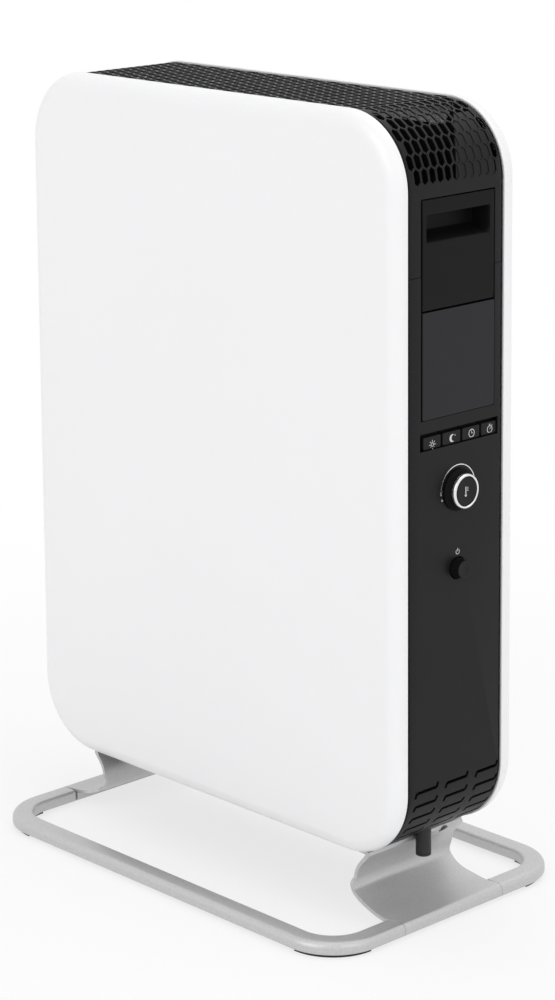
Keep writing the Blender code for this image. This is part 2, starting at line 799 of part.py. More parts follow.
def make_handle_insert(name, side):
    """A flush insert with a finger recess whose lower lip rolls outwards."""
    width = FASCIA_WIDTH - 2 * GAP
    height = HANDLE_HEIGHT - 2 * GAP
    middle = HANDLE_TOP - HANDLE_HEIGHT / 2
    insert = link_part(
        name, box((CASE_WALL, width, height), (-CASE_WALL / 2, 0, 0)), DARK_INSERT, band_axis,
        (side * CASE_HALF_WIDTH, FASCIA_SHIFT, middle), (0, 0, 0 if side > 0 else math.pi),
    )
    top = height / 2 - RECESS_DROP + GAP
    bottom = top - RECESS_HEIGHT
    back = RECESS_DEPTH + RECESS_WALL
    pocket = box(
        (back, RECESS_WIDTH + 2 * RECESS_WALL, RECESS_HEIGHT + 2 * RECESS_WALL),
        (-back / 2 - GAP, 0, (top + bottom) / 2),
    )
    join(insert, pocket, "pocket")
    lip = arc_points((-RECESS_LIP, bottom - RECESS_LIP), RECESS_LIP, 90, 0, LIP_STEPS)
    section = [(OVERRUN, top), (-RECESS_DEPTH, top), (-RECESS_DEPTH, bottom)]
    section += [(x, max(z, bottom - RECESS_LIP + EDGE_ROUND)) for x, z in lip]
    section += [(OVERRUN, bottom - RECESS_LIP + EDGE_ROUND)]
    recess = plate([section], RECESS_WIDTH)
    recess.transform(Matrix.Rotation(math.pi / 2, 4, "X"))
    cut(insert, recess, name="recess")
    return insert


def make_display():
    """The smoked window and the module behind it."""
    height = DISPLAY_HEIGHT - 2 * GAP
    middle = HANDLE_BOTTOM - DISPLAY_HEIGHT / 2
    window = link_part(
        "display_window", box((DISPLAY_GLASS, FASCIA_WIDTH - 2 * GAP, height)), SMOKED_WINDOW,
        band_axis, (CASE_HALF_WIDTH - DISPLAY_GLASS / 2, FASCIA_SHIFT, middle),
    )
    round_edges(window, EDGE_ROUND)
    link_part(
        "display_module",
        box((MODULE_DEPTH, FASCIA_WIDTH - 2 * DISPLAY_FRAME, height - 2 * DISPLAY_FRAME)),
        PALE_PLASTIC, band_axis, (MODULE_FRONT - MODULE_DEPTH / 2, FASCIA_SHIFT, middle),
    )


# Keys, dial and power button


def make_keys():
    """Four keys side by side in one slot, each pushed straight in."""
    pitch = (KEY_ROW_WIDTH - KEY_CLEARANCE) / KEY_COUNT
    front = CASE_HALF_WIDTH - KEY_SUNK
    size = (front - KEY_BACK, pitch - KEY_CLEARANCE, KEY_HEIGHT - 2 * KEY_CLEARANCE)
    names = ("key_comfort", "key_night", "key_clock", "key_timer")
    for place, name in enumerate(names):
        y = KEY_ROW_SHIFT + (place - (KEY_COUNT - 1) / 2) * pitch
        key = link_part(
            name, box(size), BLACK_CASE, band_axis, ((front + KEY_BACK) / 2, y, KEY_ROW_MIDDLE)
        )
        round_edges(key, KEY_ROUND, 2)
    link_part(
        "key_switch_strip",
        box((PLUNGER_THICKNESS, KEY_ROW_WIDTH - 2 * DISPLAY_FRAME, SWITCH_STRIP_HEIGHT)),
        PALE_PLASTIC, band_axis,
        (BOARD_FRONT + GAP + PLUNGER_THICKNESS / 2, FASCIA_SHIFT, KEY_ROW_MIDDLE),
    )


def arc_solid(half_width, height, above=0.0):
    """The dial's arc as a thin curved bar, drawn in the casing's own frame."""
    half = ARC_SWEEP_DEG / 2
    extra = math.degrees((half_width - ARC_WIDTH / 2) / ARC_RADIUS)
    first = 90 - half - extra
    last = 90 + half + extra
    outer = arc_points((0, 0), ARC_RADIUS + half_width, first, last, ARC_STEPS)
    inner = arc_points((0, 0), ARC_RADIUS - half_width, last, first, ARC_STEPS)
    mesh = plate([outer + inner], height)
    mesh.transform(Matrix.Translation((0, 0, above - height / 2)))
    stand_up = Matrix(((0, 0, 1, 0), (1, 0, 0, 0), (0, 1, 0, 0), (0, 0, 0, 1)))
    mesh.transform(Matrix.Translation((CASE_HALF_WIDTH, DIAL_SHIFT, DIAL_Z)) @ stand_up)
    return mesh


def make_dial():
    """The dial with its ring and cap, the arc round it, and the push encoder behind it."""
    link_part(
        "dial_arc", arc_solid(ARC_WIDTH / 2, ARC_HEIGHT, ARC_HEIGHT - ARC_GROOVE + GAP),
        BRIGHT_TRIM, band_axis,
    )
    centre = (CASE_HALF_WIDTH, DIAL_SHIFT, DIAL_Z)
    ring_back = DIAL_REACH - DIAL_RING_DEPTH
    seat = ring_back - GAP
    grip = seat - DIAL_FOOT_GAP
    bore = SHAFT_RADIUS + GAP
    bore_end = seat - RECESS_WALL
    body = [(0, seat), (DIAL_RADIUS - GAP, seat)]
    for share in DIAL_FLARE_SHARES:
        flare = (1 - math.cos(share * math.pi / 2)) * (DIAL_FOOT_RADIUS - DIAL_RADIUS)
        body.append((DIAL_RADIUS + flare, seat - grip * share))
    body += [(DIAL_FOOT_RADIUS, DIAL_FOOT_GAP), (bore, DIAL_FOOT_GAP)]
    body += [(bore, bore_end), (0, bore_end)]
    turned("dial_knob", body, BLACK_CASE, band_axis, centre)
    hole = DIAL_CAP_RADIUS + GAP
    ring = [
        (hole, DIAL_REACH), (DIAL_RADIUS - DIAL_RING_CHAMFER, DIAL_REACH),
        (DIAL_RADIUS, DIAL_REACH - DIAL_RING_CHAMFER), (DIAL_RADIUS, ring_back),
        (hole, ring_back),
    ]
    turned("dial_ring", ring, BRIGHT_TRIM, band_axis, centre, closed=True)
    cap_front = DIAL_REACH - DIAL_CAP_SUNK
    cap = [
        (0, cap_front), (DIAL_CAP_RADIUS - EDGE_ROUND, cap_front),
        (DIAL_CAP_RADIUS, cap_front - EDGE_ROUND), (DIAL_CAP_RADIUS, ring_back), (0, ring_back),
    ]
    turned("dial_cap", cap, DARK_INSERT, band_axis, centre)
    plunger_back = BOARD_FRONT + GAP + DIAL_TRAVEL - CASE_HALF_WIDTH
    plunger_front = plunger_back + PLUNGER_THICKNESS
    shaft_end = bore_end - GAP
    turned(
        "encoder_shaft",
        [(0, shaft_end), (SHAFT_RADIUS, shaft_end), (SHAFT_RADIUS, plunger_front + GAP),
         (0, plunger_front + GAP)],
        PLATED_STEEL, band_axis, centre, SMALL_ROUND_STEPS,
    )
    turned(
        "encoder_plunger",
        [(0, plunger_front), (PLUNGER_RADIUS, plunger_front), (PLUNGER_RADIUS, plunger_back),
         (0, plunger_back)],
        PALE_PLASTIC, band_axis, centre, SMALL_ROUND_STEPS,
    )
    depth = CASE_INSIDE - BOARD_FRONT - 2 * GAP
    encoder = link_part(
        "rotary_encoder", box((depth, ENCODER_SIZE, ENCODER_SIZE)), PALE_PLASTIC, band_axis,
        (BOARD_FRONT + GAP + depth / 2, DIAL_SHIFT, DIAL_Z),
    )
    cut(encoder, cylinder(SHAFT_RADIUS + GAP, depth + 2 * OVERRUN, axis="X"), name="bore")


def make_power_button():
    """A round tapered button that stands out of the casing, with a skirt over its switch."""
    centre = (CASE_HALF_WIDTH, DIAL_SHIFT, POWER_Z)
    inner = POWER_RADIUS - POWER_WALL
    ceiling = -POWER_CEILING
    skirt = -POWER_SKIRT
    rim = POWER_TOP_RADIUS - EDGE_ROUND
    profile = [(0, POWER_REACH - POWER_DISH)]
    for share in POWER_DISH_SHARES:
        profile.append((rim * share, POWER_REACH - POWER_DISH * (1 - share**2)))
    profile += [
        (rim, POWER_REACH), (POWER_TOP_RADIUS, POWER_REACH - EDGE_ROUND), (POWER_RADIUS, 0),
        (POWER_RADIUS, skirt), (inner, skirt), (inner, ceiling), (0, ceiling),
    ]
    turned("power_button", profile, BLACK_CASE, band_axis, centre, BUTTON_STEPS)
    back = BOARD_FRONT + GAP - CASE_HALF_WIDTH
    front = ceiling - POWER_TRAVEL - GAP
    turned(
        "power_switch",
        [(0, front), (SWITCH_RADIUS, front), (SWITCH_RADIUS, back), (0, back)],
        PALE_PLASTIC, band_axis, centre, SMALL_ROUND_STEPS,
    )


def make_control_board():
    """The board that the display module, switches and encoder sit on, and the room sensor."""
    top = HANDLE_BOTTOM - BOARD_MARGIN
    bottom = POWER_Z - POWER_RADIUS - BOARD_MARGIN
    link_part(
        "control_board", box((BOARD_THICKNESS, BOARD_WIDTH, top - bottom)), BOARD_GREEN,
        band_axis, (BOARD_FRONT - BOARD_THICKNESS / 2, FASCIA_SHIFT, (top + bottom) / 2),
    )
    sensor = link_part(
        "room_sensor", box((SENSOR_SIZE, SENSOR_SIZE, SENSOR_SIZE)), BRASS, band_axis,
        (CASE_INSIDE - GAP - SENSOR_SIZE / 2, SLOT_SHIFT, BODY_CLEARANCE + SENSOR_RISE),
    )
    round_edges(sensor, KEY_ROUND)


def make_gland():
    """The cable gland: a straight tube with a bore, held by a collar inside the corner."""
    top = GLAND_Z + GLAND_INSIDE
    bottom = GLAND_Z - GLAND_DROP
    collar = top - GLAND_COLLAR
    profile = [
        (GLAND_BORE, top), (GLAND_COLLAR_RADIUS, top), (GLAND_COLLAR_RADIUS, collar),
        (GLAND_RADIUS, collar), (GLAND_RADIUS, bottom + EDGE_ROUND),
        (GLAND_RADIUS - EDGE_ROUND, bottom), (GLAND_BORE, bottom),
    ]
    gland = turned(
        "cable_gland", profile, BLACK_CASE, band_axis, (0, 0, 0), MIDDLE_STEPS, closed=True
    )
    gland.location = (GLAND_X, GLAND_SHIFT, 0)
    gland.rotation_euler = (0, 0, 0)


# Stand


def rail_section():
    """The rail's cross-section, outer side at +X, bottom at zero height."""
    half = RAIL_WIDTH / 2
    outer = arc_points(
        (half - RAIL_ROUND, RAIL_HEIGHT - RAIL_ROUND), RAIL_ROUND, 0, 90, RAIL_EDGE_STEPS
    )
    inner = arc_points(
        (RAIL_INNER_ROUND - half, RAIL_HEIGHT - RAIL_INNER_ROUND), RAIL_INNER_ROUND, 90, 180,
        RAIL_INNER_STEPS,
    )
    return [(half - EDGE_ROUND, 0), (half, EDGE_ROUND)] + outer + inner + [(-half, 0)]


def ring_corner(side_x, side_y, radius, start_deg, end_deg, steps):
    """Points round one corner of the stand's ring, seen from above."""
    centre = (
        side_x * (RING_WIDTH / 2 - RING_CORNER), side_y * (RING_DEPTH / 2 - RING_CORNER)
    )
    return arc_points(centre, radius, start_deg, end_deg, steps)


def make_rail(name, side_y):
    """A C-shaped rail with both corners of the ring on one side."""
    radius = RING_CORNER - RAIL_WIDTH / 2
    reach = RING_WIDTH / 2 - RAIL_WIDTH / 2
    seam = -BRACKET_SEAM - GAP
    path = [(reach, seam)] + ring_corner(1, -1, radius, 0, -90, RAIL_STEPS)
    path += ring_corner(-1, -1, radius, -90, -180, RAIL_STEPS) + [(-reach, seam)]
    if side_y > 0:
        path = [(-x, -y) for x, y in path]
    profile = bpy.data.curves.new(f"{name}_section", "CURVE")
    profile.dimensions = "2D"
    spline = profile.splines.new("POLY")
    section = [(-x, z) for x, z in rail_section()]
    spline.points.add(len(section) - 1)
    for point, place in zip(spline.points, section):
        point.co = (place[0], place[1], 0, 1)
    spline.use_cyclic_u = True
    section_guide = bpy.data.objects.new(f"{name}_section", profile)
    cutters.objects.link(section_guide)
    section_guide.hide_render = True
    curve = bpy.data.curves.new(name, "CURVE")
    curve.dimensions = "2D"
    curve.bevel_mode = "OBJECT"
    curve.bevel_object = section_guide
    curve.use_fill_caps = True
    spline = curve.splines.new("POLY")
    spline.points.add(len(path) - 1)
    for point, place in zip(spline.points, path):
        point.co = (place[0], place[1], 0, 1)
    rail = link_part(name, solid_of(curve), SILVER_PAINT, heater_axis, (0, 0, RAIL_BOTTOM))
    return smooth_round(rail)


def make_foot(name, side_x, side_y):
    """A thin rubber pad under one corner of the ring."""
    middle = RING_CORNER - RAIL_WIDTH / 2
    start = {(1, -1): -90, (1, 1): 0, (-1, 1): 90, (-1, -1): 180}[side_x, side_y]
    end = start + 90
    outer = ring_corner(side_x, side_y, middle + FOOT_WIDTH / 2, start, end, FOOT_STEPS)
    inner = ring_corner(side_x, side_y, middle - FOOT_WIDTH / 2, end, start, FOOT_STEPS)
    link_part(
        name, plate([outer + inner], FOOT_HEIGHT), BLACK_RUBBER, heater_axis,
        (0, 0, FOOT_HEIGHT / 2),
    )


def bracket_face():
    """The bracket's outer face as (x, z) points, from the rail's rounding up to the flange."""
    rise = BRACKET_TOP - BRACKET_SHEET - RAIL_TOP
    face = arc_points(
        (RING_WIDTH / 2 - RAIL_ROUND, RAIL_TOP - RAIL_ROUND), RAIL_ROUND, 0, 90, RAIL_EDGE_STEPS
    )
    for inward, upward in BRACKET_SHARES:
        face.append((RING_WIDTH / 2 - BRACKET_REACH * inward, RAIL_TOP + rise * upward))
    return face


def bracket_section():
    """The bracket's closed cross-section: end rail, curved sheet and top flange."""
    face = bracket_face()
    sheet = face[RAIL_EDGE_STEPS + 1:]
    top_x = sheet[-1][0]
    flange_end = top_x - BRACKET_FLANGE
    back = []
    for place, (x, z) in enumerate(sheet):
        before = sheet[max(place - 1, 0)]
        after = sheet[min(place + 1, len(sheet) - 1)]
        run = Vector((after[0] - before[0], after[1] - before[1])).normalized()
        back.append((x - run.y * BRACKET_SHEET, z + run.x * BRACKET_SHEET))
    inner = RING_WIDTH / 2 - RAIL_WIDTH
    ceiling = BRACKET_TOP - BRACKET_SHEET
    under = [(x, z) for x, z in back if x < inner - RAIL_INNER_ROUND and z < ceiling]
    section = [(inner, RAIL_BOTTOM), (RING_WIDTH / 2 - EDGE_ROUND, RAIL_BOTTOM)]
    section += [(RING_WIDTH / 2, RAIL_BOTTOM + EDGE_ROUND)] + face
    section += [(top_x - EDGE_ROUND, BRACKET_TOP - EDGE_ROUND)]
    section += [(top_x - 2 * EDGE_ROUND, BRACKET_TOP), (flange_end, BRACKET_TOP)]
    section += [(flange_end, ceiling), (top_x - 2 * BRACKET_SHEET, ceiling)]
    section += list(reversed(under)) + [(inner, RAIL_TOP - BRACKET_SHEET)]
    return section


def make_bracket(name, side):
    """One end of the ring, whose sheet sweeps in, up and out again under the heater."""
    mesh = plate([bracket_section()], 2 * BRACKET_SEAM)
    mesh.transform(Matrix.Rotation(math.pi / 2, 4, "X"))
    rise = BRACKET_TOP - RAIL_TOP
    for vert in mesh.vertices:
        share = max(0, (vert.co.z - RAIL_TOP) / rise)
        half = BRACKET_SEAM + (BRACKET_TOP_HALF - BRACKET_SEAM) * share
        vert.co.y *= half / BRACKET_SEAM
    bracket = link_part(
        name, mesh, SILVER_PAINT, heater_axis, (0, 0, 0), (0, 0, 0 if side > 0 else math.pi)
    )
    hole = STAND_SCREW_RADIUS + STAND_SCREW_CLEARANCE
    slot_x = RING_WIDTH / 2 - BRACKET_REACH * BRACKET_SHARES[-2][0]
    slot_z = BRACKET_TOP - BRACKET_SHEET - BRACKET_SLOT_DROP
    for place in (-1, 1):
        y = place * STAND_SCREW_SPACING / 2
        cut(
            bracket,
            cylinder(hole, BRACKET_SHEET + 2 * OVERRUN,
                     centre=(STAND_SCREW_X, y, BRACKET_TOP - BRACKET_SHEET / 2)),
            name=f"screw_hole_{place + 2}",
        )
        slot = cylinder(BRACKET_SLOT_WIDTH / 2, 6 * BRACKET_SHEET + 2 * OVERRUN, axis="X")
        slot.transform(Matrix.Diagonal((1, 1, BRACKET_SLOT_HEIGHT / BRACKET_SLOT_WIDTH, 1)))
        slot.transform(Matrix.Translation((slot_x, y, slot_z)))
        cut(bracket, slot, name=f"access_slot_{place + 2}")
    return smooth_round(bracket)


def make_stand_screw(name, side, place):
    """A thumb screw up through the bracket's flange and the casing into the chassis."""
    head_top = BRACKET_TOP - BRACKET_SHEET - GAP
    head_bottom = head_top - STAND_SCREW_HEAD_HEIGHT
    tip = CHASSIS_TOP - EDGE_ROUND
    profile = [
        (0, tip), (STAND_SCREW_RADIUS, tip), (STAND_SCREW_RADIUS, head_top),
        (STAND_SCREW_HEAD, head_top), (STAND_SCREW_HEAD, head_bottom + EDGE_ROUND),
        (STAND_SCREW_HEAD - EDGE_ROUND, head_bottom), (0, head_bottom),
    ]
    screw = turned(name, profile, BLACK_RUBBER, heater_axis, (0, 0, 0), SMALL_ROUND_STEPS)
    screw.location = (side * STAND_SCREW_X, place * STAND_SCREW_SPACING / 2, 0)
    screw.rotation_euler = (0, 0, 0)


def make_stand():
    """The ring, its feet, the brackets and the screws that hold the heater on them."""
    make_rail("front_rail", -1)
    make_rail("rear_rail", 1)
    corners = {"front_control": (1, -1), "rear_control": (1, 1),
               "rear_far": (-1, 1), "front_far": (-1, -1)}
    for corner, (side_x, side_y) in corners.items():
        make_foot(f"foot_{corner}", side_x, side_y)
    for end, side in (("control", 1), ("far", -1)):
        make_bracket(f"{end}_bracket", side)
        for row, place in (("front", -1), ("rear", 1)):
            make_stand_screw(f"stand_screw_{end}_{row}", side, place)


# Chassis, core and what is fitted to them


def make_chassis():
    """Two steel bars on the casing's floor that take the stand screws and carry the core."""
    hole = STAND_SCREW_RADIUS + STAND_SCREW_CLEARANCE
    for row, place in (("front", -1), ("rear", 1)):
        bar = link_part(
            f"chassis_bar_{row}", box((CHASSIS_LENGTH, CHASSIS_WIDTH, CHASSIS_HEIGHT)),
            PLATED_STEEL, heater_axis,
            (0, place * STAND_SCREW_SPACING / 2, CHASSIS_BOTTOM + CHASSIS_HEIGHT / 2),
        )
        for side in (-1, 1):
            bore = cylinder(
                hole, CHASSIS_HEIGHT + 2 * OVERRUN, centre=(side * STAND_SCREW_X, 0, 0)
            )
            cut(bar, bore, name=f"screw_hole_{side + 2}")


def make_saddles():
    """Upright plates on the chassis bars with a round seat for the core's lower header."""
    seat = HEADER_RADIUS + GAP
    half = SADDLE_WIDTH / 2
    seat_top = LOWER_HEADER - SADDLE_WRAP
    angle = math.degrees(math.asin(-SADDLE_WRAP / seat))
    outline = [(-half, CHASSIS_TOP + GAP), (half, CHASSIS_TOP + GAP), (half, seat_top)]
    outline += arc_points((0, LOWER_HEADER), seat, angle, -180 - angle, HEADER_STEPS)
    outline += [(-half, seat_top)]
    across = (COLUMN_COUNT // 2 - 1) * COLUMN_PITCH
    for end, side in (("control", 1), ("far", -1)):
        mesh = plate([outline], SADDLE_THICKNESS)
        mesh.transform(Matrix(((0, 0, 1, 0), (1, 0, 0, 0), (0, 1, 0, 0), (0, 0, 0, 1))))
        link_part(
            f"core_saddle_{end}", mesh, PLATED_STEEL, heater_axis,
            (CORE_SHIFT + side * across, 0, 0),
        )


def column_outline():
    """A column seen from above: two pressed halves round a wide oil channel."""
    half_depth = COLUMN_DEPTH / 2
    thin = COLUMN_FLANGE / 2
    thick = COLUMN_THICKNESS / 2
    front = [
        (thin, -half_depth), (thin, -half_depth * COLUMN_SEAM_SHARE),
        (thick, -half_depth * COLUMN_FULL_SHARE),
    ]
    side = front + [(x, -y) for x, y in reversed(front)]
    return side + [(-x, -y) for x, y in side]


def make_core():
    """The columns, each with its own stretch of the top and bottom headers."""
    for number in range(COLUMN_COUNT):
        x = CORE_SHIFT + (number - (COLUMN_COUNT - 1) / 2) * COLUMN_PITCH
        column = link_part(
            f"oil_column_{number + 1}", plate([column_outline()], COLUMN_HEIGHT), CORE_GREY,
            heater_axis, (x, 0, CORE_BOTTOM + COLUMN_HEIGHT / 2),
        )
        reach = COLUMN_HEIGHT / 2 - HEADER_INSET
        for name, place in (("lower_header", -reach), ("upper_header", reach)):
            barrel = cylinder(
                HEADER_RADIUS, COLUMN_PITCH - GAP, HEADER_STEPS, centre=(0, 0, place), axis="X"
            )
            join(column, barrel, name)
        smooth_round(column)
    end = CORE_END + GAP / 2
    flange = cylinder(FLANGE_RADIUS, FLANGE_THICKNESS, NUT_SIDES, axis="X")
    link_part(
        "element_flange", flange, BRASS, heater_axis,
        (end + FLANGE_THICKNESS / 2, 0, LOWER_HEADER),
    )
    element = link_part(
        "heating_element", cylinder(ELEMENT_RADIUS, ELEMENT_LENGTH, MIDDLE_STEPS, axis="X"),
        PLATED_STEEL, heater_axis,
        (end + FLANGE_THICKNESS + GAP + ELEMENT_LENGTH / 2, 0, LOWER_HEADER),
    )
    for place in (-1, 1):
        pin = cylinder(
            TERMINAL_RADIUS, TERMINAL_LENGTH + OVERRUN, LEAST_STEPS, axis="X",
            centre=((ELEMENT_LENGTH + TERMINAL_LENGTH - OVERRUN) / 2,
                    place * TERMINAL_SPACING / 2, 0),
        )
        join(element, pin, f"terminal_{place + 2}")
    link_part(
        "thermal_cutout", cylinder(CUTOUT_RADIUS, CUTOUT_HEIGHT, MIDDLE_STEPS, axis="X"),
        PALE_PLASTIC, heater_axis, (end + CUTOUT_HEIGHT / 2, 0, UPPER_HEADER),
    )
    far_end = 2 * CORE_SHIFT - end
    link_part(
        "filler_plug", cylinder(PLUG_RADIUS, PLUG_LENGTH, NUT_SIDES, axis="X"), BRASS, heater_axis,
        (far_end - PLUG_LENGTH / 2, 0, LOWER_HEADER),
    )


def make_heat_shield():
    """An upright sheet between the core and the controls, footed on the chassis bars."""
    x = CHASSIS_LENGTH / 2 - SHIELD_SHEET
    bottom = SHIELD_BOTTOM
    outline = [
        (x - SHIELD_FOOT, bottom), (x + SHIELD_SHEET, bottom),
        (x + SHIELD_SHEET, bottom + SHIELD_HEIGHT), (x, bottom + SHIELD_HEIGHT),
        (x, bottom + SHIELD_SHEET), (x - SHIELD_FOOT, bottom + SHIELD_SHEET),
    ]
    mesh = plate([outline], SHIELD_WIDTH)
    mesh.transform(Matrix.Rotation(math.pi / 2, 4, "X"))
    link_part("heat_shield", mesh, PLATED_STEEL, heater_axis, (0, BAND_Y, 0))
    block = link_part(
        "terminal_block", box(TERMINAL_BLOCK_SIZE), PALE_PLASTIC, heater_axis,
        (x + SHIELD_SHEET + GAP + TERMINAL_BLOCK_SIZE[0] / 2, BAND_Y,
         bottom + TERMINAL_BLOCK_RISE),
    )
    round_edges(block, KEY_ROUND)


def make_tip_switch():
    """The tip-over switch: a U-shaped housing, its pin and the pendulum that hangs on it."""
    floor = CASE_FLOOR + GAP
    half = TIP_INNER_WIDTH / 2
    outline = [
        (-half - TIP_WALL, 0), (half + TIP_WALL, 0), (half + TIP_WALL, TIP_HEIGHT),
        (half, TIP_HEIGHT), (half, TIP_WALL), (-half, TIP_WALL), (-half, TIP_HEIGHT),
        (-half - TIP_WALL, TIP_HEIGHT),
    ]
    mesh = plate([outline], TIP_LENGTH)
    mesh.transform(Matrix(((0, 0, 1, 0), (1, 0, 0, 0), (0, 1, 0, 0), (0, 0, 0, 1))))
    housing = link_part(
        "tip_switch_housing", mesh, PALE_PLASTIC, heater_axis, (TIP_SHIFT, 0, floor)
    )
    pivot = TIP_HEIGHT - TIP_PIVOT_DROP
    length = TIP_INNER_WIDTH + 2 * TIP_WALL
    cut(
        housing,
        cylinder(TIP_PIN_RADIUS + GAP, length + 2 * OVERRUN, centre=(0, 0, pivot), axis="Y"),
        name="pin_holes",
    )
    place = (TIP_SHIFT, 0, floor + pivot)
    link_part(
        "tip_pin", cylinder(TIP_PIN_RADIUS, length, axis="Y"), PLATED_STEEL, heater_axis, place
    )
    top = TIP_PIN_RADIUS + TIP_WALL
    arm = box(
        (TIP_ARM_WIDTH, TIP_ARM_THICKNESS, TIP_ARM_LENGTH + top),
        (0, 0, (top - TIP_ARM_LENGTH) / 2),
    )
    pendulum = link_part("tip_pendulum", arm, PLATED_STEEL, heater_axis, place)
    join(
        pendulum,
        cylinder(
            TIP_BOB_RADIUS, TIP_BOB_WIDTH, MIDDLE_STEPS, centre=(0, 0, -TIP_ARM_LENGTH), axis="Y"
        ),
        "bob",
    )
    cut(
        pendulum,
        cylinder(TIP_PIN_RADIUS + GAP, TIP_ARM_THICKNESS + 2 * OVERRUN, axis="Y"),
        name="pivot_hole",
    )


make_panel("front_panel", FRONT_PANEL_DEPTH, FRONT_CROWN_INSET, 1)
make_panel("rear_panel", REAR_PANEL_DEPTH, REAR_CROWN_INSET, -1)
make_top_grille()
make_grille_baffle()
make_casings()
make_bottom_cover()
make_handle_insert("handle_insert", 1)
make_handle_insert("far_handle_insert", -1)
make_display()
make_keys()
make_dial()
make_power_button()
make_control_board()
make_gland()
make_stand()
make_chassis()
make_saddles()
make_core()
make_heat_shield()
make_tip_switch()
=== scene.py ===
"""Oil-filled radiator dressed for a picture: white pressed panels on a black grille casing, its
controls on one side, and a silver ring stand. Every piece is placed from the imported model's nodes.
"""

import math

import bmesh
import bpy
from bpy.props import FloatProperty, FloatVectorProperty, IntProperty, PointerProperty
from mathutils import Matrix, Vector
from mathutils.geometry import delaunay_2d_cdt


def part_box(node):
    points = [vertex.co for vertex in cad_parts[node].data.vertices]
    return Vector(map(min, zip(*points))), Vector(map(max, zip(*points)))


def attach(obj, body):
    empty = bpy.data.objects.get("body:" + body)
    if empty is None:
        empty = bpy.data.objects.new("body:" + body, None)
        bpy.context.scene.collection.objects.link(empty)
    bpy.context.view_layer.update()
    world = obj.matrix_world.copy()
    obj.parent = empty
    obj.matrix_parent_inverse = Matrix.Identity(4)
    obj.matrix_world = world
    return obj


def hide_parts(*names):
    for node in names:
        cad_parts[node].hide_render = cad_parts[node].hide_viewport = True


bl_info = {
    "name": "Oil-filled radiator",
    "version": (1, 0, 0),
    "blender": (4, 5, 0),
    "location": "3D View > Sidebar > Heater",
    "description": "Builds the pieces and the stage of an oil-filled radiator",
    "category": "Object",
}

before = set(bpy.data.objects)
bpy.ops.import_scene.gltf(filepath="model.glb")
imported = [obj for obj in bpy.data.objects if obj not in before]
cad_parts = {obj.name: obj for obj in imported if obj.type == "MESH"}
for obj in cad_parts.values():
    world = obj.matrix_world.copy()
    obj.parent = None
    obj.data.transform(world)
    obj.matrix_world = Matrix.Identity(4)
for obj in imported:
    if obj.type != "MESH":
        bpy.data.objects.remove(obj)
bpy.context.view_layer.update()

WELD = 0.000002
EDGE_CHAMFER = 0.0003
FIT_GAP = 0.0003
SEAM_GAP = 0.00015
SCREW_HOLE_RADIUS = 0.0029
QUARTER_TURN = math.pi / 2
PANEL_LOW, PANEL_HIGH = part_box("front_panel")
CASING_LOW, CASING_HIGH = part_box("control_casing")
CASE_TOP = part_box("top_grille")[1].z
CENTRE_X = (PANEL_LOW.x + PANEL_HIGH.x) / 2
BAND_Y = (CASING_LOW.y + CASING_HIGH.y) / 2
MIDDLE_Z = (PANEL_LOW.z + PANEL_HIGH.z) / 2
CASE_HALF_WIDTH = CASING_HIGH.x - CENTRE_X
CASE_HALF_HEIGHT = CASE_TOP - MIDDLE_Z
BAND_HALF = (CASING_HIGH.y - CASING_LOW.y) / 2
SEAM_Z = CASING_HIGH.z


# Sizes and colours


def length(name, description, default):
    """A size that a user may change."""
    return FloatProperty(name=name, description=description, default=default, unit="LENGTH")


def colour(name, description, default):
    """A colour that a user may change."""
    return FloatVectorProperty(
        name=name, description=description, default=default, subtype="COLOR", size=3,
        min=0, max=1,
    )


